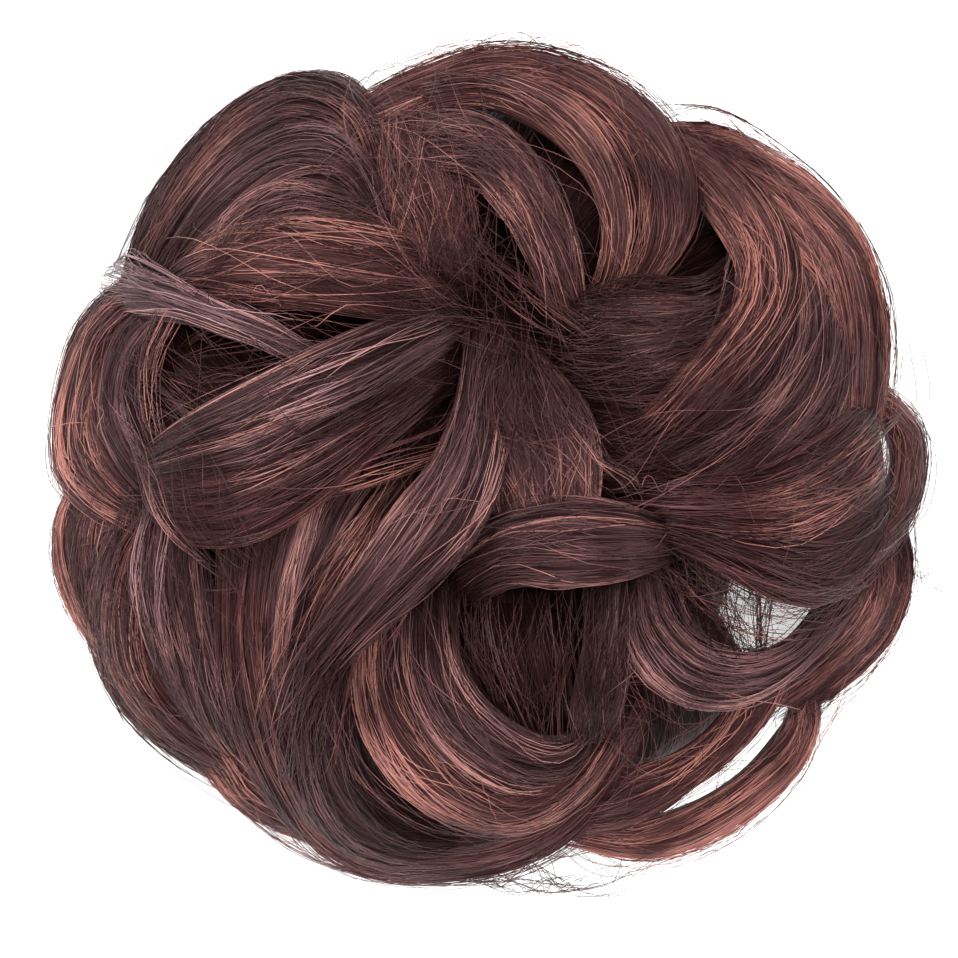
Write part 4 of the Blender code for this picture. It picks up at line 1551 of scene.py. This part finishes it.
@dataclass
class LooseHair(HairPiece):
    """Stray hairs: nets over the gaps and hollows, crossing hairs and fly-aways; the black nets over
    the hub, the hollows and the gaps are also painted shade.
    """

    name: str = "loose_hair"
    slot: str = "hair_brown"
    seed: int = 22000
    backing: bool = False
    locks: tuple[HairLock, ...] = (
        Strays("left_hollow_net", Tone.BLACK, -7, 0, 0, (
            (-83, 28, -56, 32), (-76, 18, -50, 22), (-68, 8, -44, 12), (-62, 0, -40, 4))),
        Strays("left_bundle", Tone.COPPER, -4, 0, 4, (
            (-76, 35, -72, 34), (-80, 24, -77, 24), (-80, 12, -77, 12), (-78, 3, -75, 4)),
            style=THREADS, spread=1.0),
        Strays("left_tangle", Tone.ROSE, 1, 0, 4, (
            (-82, 8, -74, 14), (-78, -2, -66, 4), (-74, -12, -60, -8), (-66, -20, -52, -18)),
            style=MESH),
        # pale grey threads: painted sheen over the pale lock's fan
        Strays("sheen_fan", Tone.GREY_SHEEN, -4, 6, 0, (
            (-91, 34, -80, 50), (-86, 36, -78, 47), (-78, 36, -72, 43), (-66, 33, -63, 37),
            (-52, 28, -50, 32)), style=THREADS, spread=1.0),
        Strays("lobe_rim", Tone.COPPER, -7, 2, 2, (
            (-24, 80, -24, 74), (-34, 89, -34, 85), (-48, 89, -47, 85), (-64, 79, -62, 75),
            (-77, 63, -74, 60), (-84, 49, -81, 47)), style=FLIES, spread=2.2),
        Strays("low_left_rim", Tone.COPPER, -9, 2, 2, (
            (-84, -10, -81, -12), (-90, -20, -86, -21), (-93, -32, -89, -32), (-90, -45, -86, -43),
            (-84, -57, -80, -54), (-75, -66, -72, -63)), style=FLIES, spread=2.2),
        Strays("bottom_rim", Tone.COPPER, -11, 2, 2, (
            (-62, -74, -59, -71), (-46, -87, -44, -83), (-28, -94, -27, -90), (-9, -96, -9, -92),
            (7, -93, 6, -88), (20, -86, 17, -82)), style=FLIES, spread=2.2),
        Strays("right_rim", Tone.COPPER, -9, 2, 2, (
            (40, 82, 39, 78), (54, 80, 52, 75), (68, 72, 66, 68), (80, 61, 77, 57),
            (90, 44, 86, 42), (93, 26, 89, 25), (91, 10, 87, 10)), style=FLIES, spread=2.2),
        Strays("top_rim", Tone.COPPER, -8, 2, 2, (
            (-24, 90, -22, 86), (-10, 95, -9, 90), (4, 98, 4, 93), (18, 96, 17, 91),
            (32, 89, 30, 85), (42, 80, 39, 77)), style=FLIES, spread=2.2),
        Strays("low_right_rim", Tone.COPPER, -16, 2, 2, (
            (98, -14, 94, -14), (98, -30, 94, -30), (90, -46, 86, -44), (79, -58, 75, -56),
            (72, -73, 69, -70), (58, -87, 55, -83), (38, -94, 37, -89)), style=FLIES, spread=2.2),
        Strays("left_gap_dark", Tone.BLACK, -5, 2, 2, (
            (-84, -13, -73, -15), (-86, -28, -73, -28), (-82, -42, -71, -42)), style=MESH),
        Strays("silver_gleams", Tone.GREY_SHEEN, 3, 2, 2, (
            (-79, -14, -75, -14), (-81, -24, -77, -24), (-80, -33, -77, -33), (-78, -41, -76, -41)),
            style=THREADS, spread=1.3, gleam=Gleam(0.5, 1.2)),
        Strays("lobe_arcs", Tone.ROSE, -2, 2, 2, (
            (-74, 40, -60, 40), (-64, 58, -48, 52), (-48, 68, -38, 56), (-34, 64, -28, 52),
            (-24, 48, -20, 40))),
        Strays("lobe_crossing", Tone.COPPER, -2, 0, 4, (
            (-64, 44, -58, 36), (-46, 60, -44, 48), (-26, 58, -26, 44), (-8, 46, -8, 32))),
        Strays("top_tangle", Tone.ROSE, -2, 0, 0, (
            (-30, 86, -6, 90), (-28, 74, -4, 76), (-22, 60, 0, 60), (-18, 46, 4, 42))),
        Strays("top_tangle_across", Tone.ROSE, -3, 0, 4, (
            (-34, 74, -28, 54), (-18, 78, -14, 54), (0, 74, 0, 50), (14, 62, 10, 42))),
        Strays("top_hollow_net", Tone.ROSE, -2, 0, 4, (
            (-8, 88, -4, 70), (10, 84, 8, 64), (24, 72, 18, 54), (30, 54, 22, 44))),
        Strays("hub_across", Tone.BLACK, -4, 4, 4, (
            (-34, 54, -26, 38), (-14, 50, -10, 32), (6, 42, 8, 26), (26, 36, 26, 22))),
        Strays("hub_upright", Tone.BLACK, -6, 4, 4, (
            (-16, 58, 12, 58), (-12, 44, 10, 44), (-8, 30, 14, 30), (-4, 16, 20, 18))),
        Strays("hub_threads", Tone.BROWN, -5, 2, 6, (
            (-8, 50, -2, 50), (-1, 42, 6, 44), (8, 34, 16, 38), (20, 28, 26, 32)),
            style=THREADS, spread=1.0),
        Strays("curl_crossing", Tone.BROWN, 1, 4, 4, (
            (-66, 16, -60, -2), (-48, 20, -42, -4), (-30, 22, -24, 0), (-12, 22, -8, 6))),
        Strays("hollow_arcs", Tone.RUST, -1, 4, 4, (
            (-34, 0, -32, -6), (-22, 5, -20, -2), (-12, 9, -10, 3), (-8, 16, -4, 13)),
            style=THREADS, spread=1.0),
        Strays("right_hollow_arcs", Tone.BLACK, -7, 4, 4, (
            (20, 36, 22, 18), (34, 40, 36, 16), (48, 40, 50, 20), (58, 48, 62, 34)), style=THREADS),
        Strays("right_crossing", Tone.BROWN, -5, 4, 4, (
            (22, 34, 24, -6), (36, 34, 38, -6), (52, 32, 56, 0), (68, 40, 72, 14))),
        Strays("swirl_crossing", Tone.ROSE, 0, 4, 4, (
            (46, 76, 58, 76), (56, 62, 72, 56), (58, 44, 78, 38), (52, 24, 74, 18),
            (38, 6, 56, -2))),
        Strays("fan_edge", Tone.COPPER, 3, 8, 4, (
            (33, -5, 33, -9), (48, -6, 48, -10), (62, -5, 62, -9), (76, 1, 77, -4), (90, 11, 91, 7)),
            style=THREADS, spread=1.0),
        Strays("fan_crossing", Tone.BROWN, -3, 4, 4, (
            (38, 2, 38, -22), (54, 4, 54, -28), (70, 6, 72, -30), (84, 10, 88, -22))),
        Strays("ear_net", Tone.COPPER, -14, 0, 0, (
            (88, -14, 97, -14), (89, -5, 98, -5), (89, 5, 98, 5), (86, 14, 94, 15))),
        Strays("ear_fly_aways", Tone.BROWN, -14, 0, 0, (
            (84, 8, 88, 4), (90, 14, 94, 10), (94, 18, 99, 14), (95, 23, 102, 20))),
        Strays("right_gap_net", Tone.BLACK, -16, 0, 0, (
            (44, -22, 50, -36), (54, -22, 58, -42), (64, -24, 67, -44), (76, -26, 76, -42)),
            style=MESH),
        Strays("right_gap_upright", Tone.BLACK, -12, 0, 0, (
            (42, -20, 64, -20), (44, -30, 63, -30), (46, -38, 62, -38), (50, -46, 62, -46)),
            style=MESH),
        Strays("right_gap_fringe", Tone.BLACK, -13, 0, 0, (
            (50, -22, 62, -23), (51, -32, 63, -33), (53, -41, 63, -43), (56, -48, 63, -50)),
            style=THREADS, spread=1.0),
        Strays("right_gap_edge", Tone.DUSK, -9, 4, 4, (
            (42, -26, 36, -30), (46, -38, 41, -42), (56, -44, 54, -50), (68, -42, 69, -48),
            (78, -32, 82, -36)), style=MESH),
        Strays("fan_edge_wisps", Tone.BROWN, -8, 6, 4, (
            (42, -20, 40, -24), (54, -27, 51, -33), (66, -32, 64, -39), (78, -32, 78, -38),
            (86, -24, 88, -28)), style=MESH),
        Strays("middle_wisps", Tone.BROWN, -3, 4, 4, (
            (-64, 30, -62, 21), (-46, 35, -45, 24), (-28, 35, -28, 26), (-12, 37, -12, 29)),
            style=MESH),
        Strays("low_gap_net", Tone.BROWN, -11, 0, 0, (
            (30, -52, 30, -68), (38, -52, 38, -70), (48, -50, 50, -70), (58, -48, 62, -68))),
        Strays("low_gap_upright", Tone.BROWN, -10, 0, 0, (
            (30, -46, 52, -46), (32, -56, 52, -56), (32, -66, 48, -68), (28, -74, 42, -76))),
        Strays("brush_ends", Tone.ROSE, -1, 2, 2, (
            (6, 20, 16, 17), (13, 8, 23, 7), (17, -3, 27, 0), (21, -12, 32, -3)), style=THREADS),
        Strays("low_crescent_net", Tone.COPPER, -24, 0, 0, (
            (74, -54, 64, -52), (72, -62, 60, -60), (66, -70, 54, -68), (58, -78, 48, -76))),
        # pale grey lines: painted highlights across the roll
        Strays("roll_lines", Tone.GREY_SHEEN, 2, 8, 8, (
            (36, -14, 36, -21), (26, -13, 26, -22), (15, -13, 15, -22), (6, -15, 6, -22))),
        Strays("low_hollow_wisps", Tone.BLACK, -12, 4, 4, (
            (-6, -30, 30, -30), (-4, -42, 28, -44), (2, -54, 24, -58), (8, -66, 22, -70)),
            style=THREADS),
        Strays("low_crossing", Tone.BROWN, 0, 4, 4, (
            (-34, -38, -12, -34), (-34, -56, -10, -50), (-26, -72, -2, -62), (-10, -82, 12, -70),
            (10, -82, 26, -64))),
        Strays("sweep_crossing", Tone.ROSE, 1, 4, 4, (
            (-24, -6, -8, 4), (-36, -22, -14, -16), (-46, -40, -24, -38), (-52, -58, -30, -58))),
        Strays("sweep_wisps", Tone.BROWN, 1, 4, 4, (
            (-34, -26, -24, -30), (-42, -38, -32, -44), (-48, -50, -36, -58), (-52, -62, -38, -70)),
            style=THREADS),
        Strays("left_crossing", Tone.BROWN, -1, 4, 4, (
            (-88, -8, -64, -14), (-90, -26, -62, -28), (-84, -46, -58, -46), (-70, -64, -52, -62))),
        Strays("bottom_fly_aways", Tone.BLACK, -24, 0, 0, (
            (-4, -86, 6, -80), (8, -92, 14, -82), (16, -97, 24, -84), (24, -101, 36, -88)),
            style=FLIES),
        Strays("rim_fly_aways", Tone.BROWN, -20, 0, 0, (
            (84, -10, 88, -16), (92, -16, 95, -20), (99, -21, 101, -25), (104, -24, 106, -29))),
        Strays("bottom_wisps", Tone.BLACK, -22, 0, 0, (
            (-16, -90, -6, -84), (-2, -95, 4, -86), (10, -98, 16, -88), (22, -98, 30, -90)),
            style=FLIES, spread=1.6),
        Strays("curl_gleam", Tone.GREY_SHEEN, 3, 2, 4, (
            (-16, 33, -14, 26), (-29, 28, -26, 18), (-42, 22, -39, 11), (-56, 15, -53, 5)),
            style=THREADS, spread=1.3, gleam=Gleam(0.62, 1.5)),
        Strays("low_curl_gleam", Tone.ROSE, -1, 2, 4, (
            (-26, 15, -25, 8), (-38, 7, -36, -2), (-50, 2, -48, -9), (-64, -2, -62, -12)),
            style=THREADS, spread=1.3, gleam=Gleam(0.5, 0.4)),
        Strays("lobe_gleam", Tone.PLUM, -1, 2, 2, (
            (-64, 47, -58, 44), (-60, 58, -52, 51), (-47, 65, -43, 56), (-34, 62, -31, 53)),
            style=THREADS, spread=1.0, gleam=Gleam(0.5, 1.0)),
    )


@dataclass
class UnderHair(BunPart):
    """Lower layer of hair, wrapped from the band up round the flank.

    Each petal has its heading, half the angle that it covers, both in
    degrees, and its reach in hundredths of half the bun's width. Each station
    has its shares of the way out, of the bun's height and of that angle.
    """

    name: str = "under_hair"
    bore: float = 0.023
    band_width: float = 0.007
    clearance: float = 0.0006
    swirl: float = 30.0
    seed: int = 21000
    first_lot: float = 210.0
    girth_per_width: float = 1.2
    petals: tuple[tuple[float, float, float], ...] = (
        (2, 20, 84), (42, 22, 86), (84, 22, 88), (126, 22, 88), (168, 22, 90),
        (208, 22, 88), (249, 22, 88), (286, 16, 80), (322, 20, 63))
    stations: tuple[tuple[float, float, float], ...] = (
        (0.00, 0.105, 0.80), (0.40, 0.100, 1.00), (0.80, 0.130, 1.00), (1.00, 0.230, 0.95),
        (0.95, 0.370, 0.95), (0.74, 0.500, 0.98), (0.42, 0.580, 1.00), (0.08, 0.600, 0.90))

    def sheet(self, heading: float, half_angle: float, reach: float) -> Sheet:
        """Sheet of one petal.

        Args:
            heading: where it lies, in degrees from +X.
            half_angle: half the angle that it covers, in degrees.
            reach: how far out it goes, in hundredths of half the bun's width.

        Returns:
            The sheet, in metres.
        """
        start = self.bore + self.band_width + self.clearance
        far = reach / 200 * FORM.width
        edges: Edges = ([], [])
        for index, (share, height, spread) in enumerate(self.stations):
            radius = start + share * (far - start)
            turn = self.swirl * index / (len(self.stations) - 1)
            for edge, side in zip(edges, (-1, 1)):
                angle = radians(heading + turn + side * spread * half_angle)
                edge.append(Vector((radius * cos(angle), radius * sin(angle),
                                    height * FORM.height)))
        return Sheet(*edges, spread=1.12, crown=0.0020, crown_per_width=0.06,
                     belly_per_width=-0.05)

    def meshes(self) -> list[Mesh]:
        """Backing and strands of all the petals.

        Returns:
            The meshes, each with its material.
        """
        meshes = []
        for number, petal in enumerate(self.petals):
            sheet = self.sheet(*petal)
            backing = sheet.body("petal_backing", wide=0.97, tall=0.85, below=1.0)
            meshes.append(BackingFinish().dress(backing, Tone.BLACK, self.first_lot + number))
            meshes.append(COMB.comb(sheet.grid("petal"), sheet.length,
                                    sheet.width * self.girth_per_width, PETAL, Tone.BROWN,
                                    self.seed + 100 * number))
        return meshes

    def stands_for(self) -> list[str]:
        """Names of the petals."""
        return [f"under_petal_{number}" for number in range(1, len(self.petals) + 1)]


@dataclass
class WoundCore(BunPart):
    """Hair wound round the band, with the hollow for the wearer's own knot.

    The profile runs from the crown down the outside and up the hollow: radius
    and height of each point, in metres.
    """

    name: str = "wound_core"
    profile: tuple[tuple[float, float], ...] = (
        (0.0030, 0.0288), (0.0150, 0.0290), (0.0270, 0.0287), (0.0405, 0.0262), (0.0432, 0.0190),
        (0.0368, 0.0108), (0.0272, 0.0047), (0.0236, 0.0050), (0.0233, 0.0120), (0.0233, 0.0200),
        (0.0228, 0.0240), (0.0150, 0.0243), (0.0030, 0.0243))
    segments: int = 72
    flow_length: float = 0.09
    way_round: float = 0.17
    girth: float = 0.11
    seed: int = 31000
    lot: float = 310.0

    def meshes(self) -> list[Mesh]:
        """The core's backing and its wound strands.

        Returns:
            The meshes, each with its material.
        """
        sections = [turned(self.profile, turn) for turn in (*circle(self.segments), 2 * pi)]
        rings = [list(ring) for ring in zip(*sections[:-1])]
        backing = tube_mesh("core_backing", rings, self.flow_length)
        BackingFinish().dress(backing, Tone.BLACK, self.lot)
        points = [point for section in sections for point in section]
        guide = guide_surface("core", points, self.segments + 1, len(self.profile))
        strands = COMB.comb(guide, self.way_round, self.girth, WOUND, Tone.BLACK, self.seed)
        return [backing, strands]

    def stands_for(self) -> list[str]:
        """Name of the core."""
        return ["hair_core"]


@dataclass
class ElasticBand(BunPart):
    """Covered elastic ring under the bun: a soft core wrapped in fine threads."""

    name: str = "elastic_ring"
    slot: str = "elastic"
    bore: float = 0.0231
    width: float = 0.0068
    thickness: float = 0.0041
    squareness: float = 0.6
    sides: int = 14
    segments: int = 96
    wraps: int = 180
    thread: float = 0.00050
    thread_sides: int = 5
    thread_flatness: float = 1.5
    thread_length: float = 0.02

    def section(self, grow: float) -> list[tuple[float, float]]:
        """Rounded section of the ring.

        Args:
            grow: how far outside the plain section, in metres.

        Returns:
            Radius and height of each point.
        """
        points = []
        for turn in circle(self.sides):
            out, up = (copysign(abs(value) ** self.squareness, value)
                       for value in (cos(turn), sin(turn)))
            points.append((self.bore + self.width / 2 + (self.width / 2 + grow) * out,
                           self.thickness / 2 + (self.thickness / 2 + grow) * up))
        return points

    def meshes(self) -> list[Mesh]:
        """The ring and its wrapped threads.

        Returns:
            The meshes, each with its material.
        """
        rings = [turned(self.section(-self.thread), turn) for turn in circle(self.segments)]
        ring = tube_mesh("ring", rings, 2 * pi * (self.bore + self.width / 2), closed=True)
        ring.materials.append(BandFinish().material())
        return [ring, self._threads()]

    def stands_for(self) -> list[str]:
        """Name of the band."""
        return ["elastic_band"]

    def _threads(self) -> Mesh:
        """One thread loop round the ring, repeated all round it.

        Returns:
            The mesh of all the loops.
        """
        path = self.section(-self.thread / 2)
        rings = []
        for index, (radius, height) in enumerate(path):
            before, after = path[index - 1], path[(index + 1) % len(path)]
            out = Vector((after[1] - before[1], 0.0, before[0] - after[0])).normalized()
            rings.append([Vector((radius, 0.0, height)) + self.thread / 2 * (
                out * cos(turn) + Vector((0, 1, 0)) * sin(turn) * self.thread_flatness)
                for turn in circle(self.thread_sides)])
        loop = added("loop", tube_mesh("loop", rings, self.thread_length, closed=True))
        b = GroupBuilder("wrap threads", "GeometryNodeTree")
        b.takes("NodeSocketGeometry", "thread")
        b.takes("NodeSocketInt", "wraps")
        b.takes("NodeSocketMaterial", "finish")
        b.gives("NodeSocketGeometry", "Wrapped")
        points = b.out("GeometryNodePoints", {"Count": b.given("wraps")})
        index = b.out("GeometryNodeInputIndex", {})
        turn = b.times(b.sum("DIVIDE", index, b.given("wraps")), 2 * pi)
        wraps = b.out("GeometryNodeInstanceOnPoints",
                      {"Points": points, "Instance": b.given("thread"),
                       "Rotation": b.out("ShaderNodeCombineXYZ", {2: turn})})
        return grown(loop, b.end_solid(wraps), {b.keys["wraps"]: self.wraps,
                                                b.keys["finish"]: BandFinish().material()})


@dataclass
class Studio:
    """Pale floor, soft lights and the camera, straight above the bun.

    Each light has its name, its place in metres, its side in metres and its
    power in watts.
    """

    image_span: float = 0.1634
    camera_height: float = 1.0
    rim_height: float = 0.018
    aim: tuple[float, float] = (-0.0017, -0.0024)
    sensor: float = 36.0
    seen: tuple[float, float] = (0.05, 10.0)
    backdrop: float = 0.10
    floor_half: float = 3.0
    floor_level: float = -0.0003
    lights: tuple[tuple[str, tuple[float, float, float], float, float], ...] = (
        ("key", (-0.70, 0.75, 0.55), 0.40, 16.0),
        ("right", (0.95, 0.15, 0.50), 0.40, 12.5),
        ("front", (-0.25, -0.95, 0.50), 0.40, 11.0),
        ("overhead", (0.08, 0.10, 1.20), 0.35, 8.0))

    def build(self) -> None:
        """Make the floor, the lights, the world and the camera."""
        scene = bpy.context.scene
        scene.view_settings.view_transform = "Standard"
        self._floor()
        for light in self.lights:
            self._light(*light)
        scene.world = bpy.data.worlds.new("studio")
        scene.world.use_nodes = True
        backdrop = scene.world.node_tree.nodes["Background"]
        backdrop.inputs["Color"].default_value = (1.0, 1.0, 1.0, 1.0)
        backdrop.inputs["Strength"].default_value = self.backdrop
        camera = bpy.data.cameras.new("camera")
        camera.sensor_width = self.sensor
        camera.lens = self.sensor * (self.camera_height - self.rim_height) / self.image_span
        camera.clip_start, camera.clip_end = self.seen
        scene.camera = added("camera", camera)
        scene.camera.location = (*self.aim, self.camera_height)

    def _floor(self) -> None:
        """Plain pale floor under the bun."""
        mesh = bpy.data.meshes.new("floor")
        half = self.floor_half
        mesh.from_pydata([(x, y, self.floor_level) for x, y in (
            (-half, -half), (half, -half), (half, half), (-half, half))], [], [(0, 1, 2, 3)])
        mesh.materials.append(PaperFinish().material())
        added("floor", mesh)

    @staticmethod
    def _light(name: str, place: tuple[float, float, float], size: float, power: float) -> None:
        """Square soft light that looks at the bun.

        Args:
            name: its name.
            place: where it stands, in metres.
            size: its side, in metres.
            power: its power, in watts.
        """
        data = bpy.data.lights.new(name, "AREA")
        data.size = size
        data.energy = power
        made = added(name, data)
        made.location = place
        made.rotation_euler = (-Vector(place)).to_track_quat("-Z", "Y").to_euler()


def main() -> None:
    """Build the studio and every piece of the bun, in order."""
    logging.basicConfig(level=logging.INFO, format="%(name)s: %(message)s")
    Studio().build()
    makers = [ElasticBand(), WoundCore(), UnderHair(), LowRightCurls(), LeftCurls(),
              TopLeftLobe(), RightCurls(), TopCurl(), BottomSwirls(), RightFan(), LongSweeps(),
              BigCurls(), CentreTuft(), LooseHair()]
    total = 0
    for maker in makers:
        piece = maker.build()
        maker.hang(piece)
        triangles = sum(len(face.vertices) - 2 for face in piece.data.polygons)
        total += triangles
        log.info("%s: %d triangles", piece.name, triangles)
    log.info("all pieces: %d triangles", total)


if __name__ == "__main__":
    main()
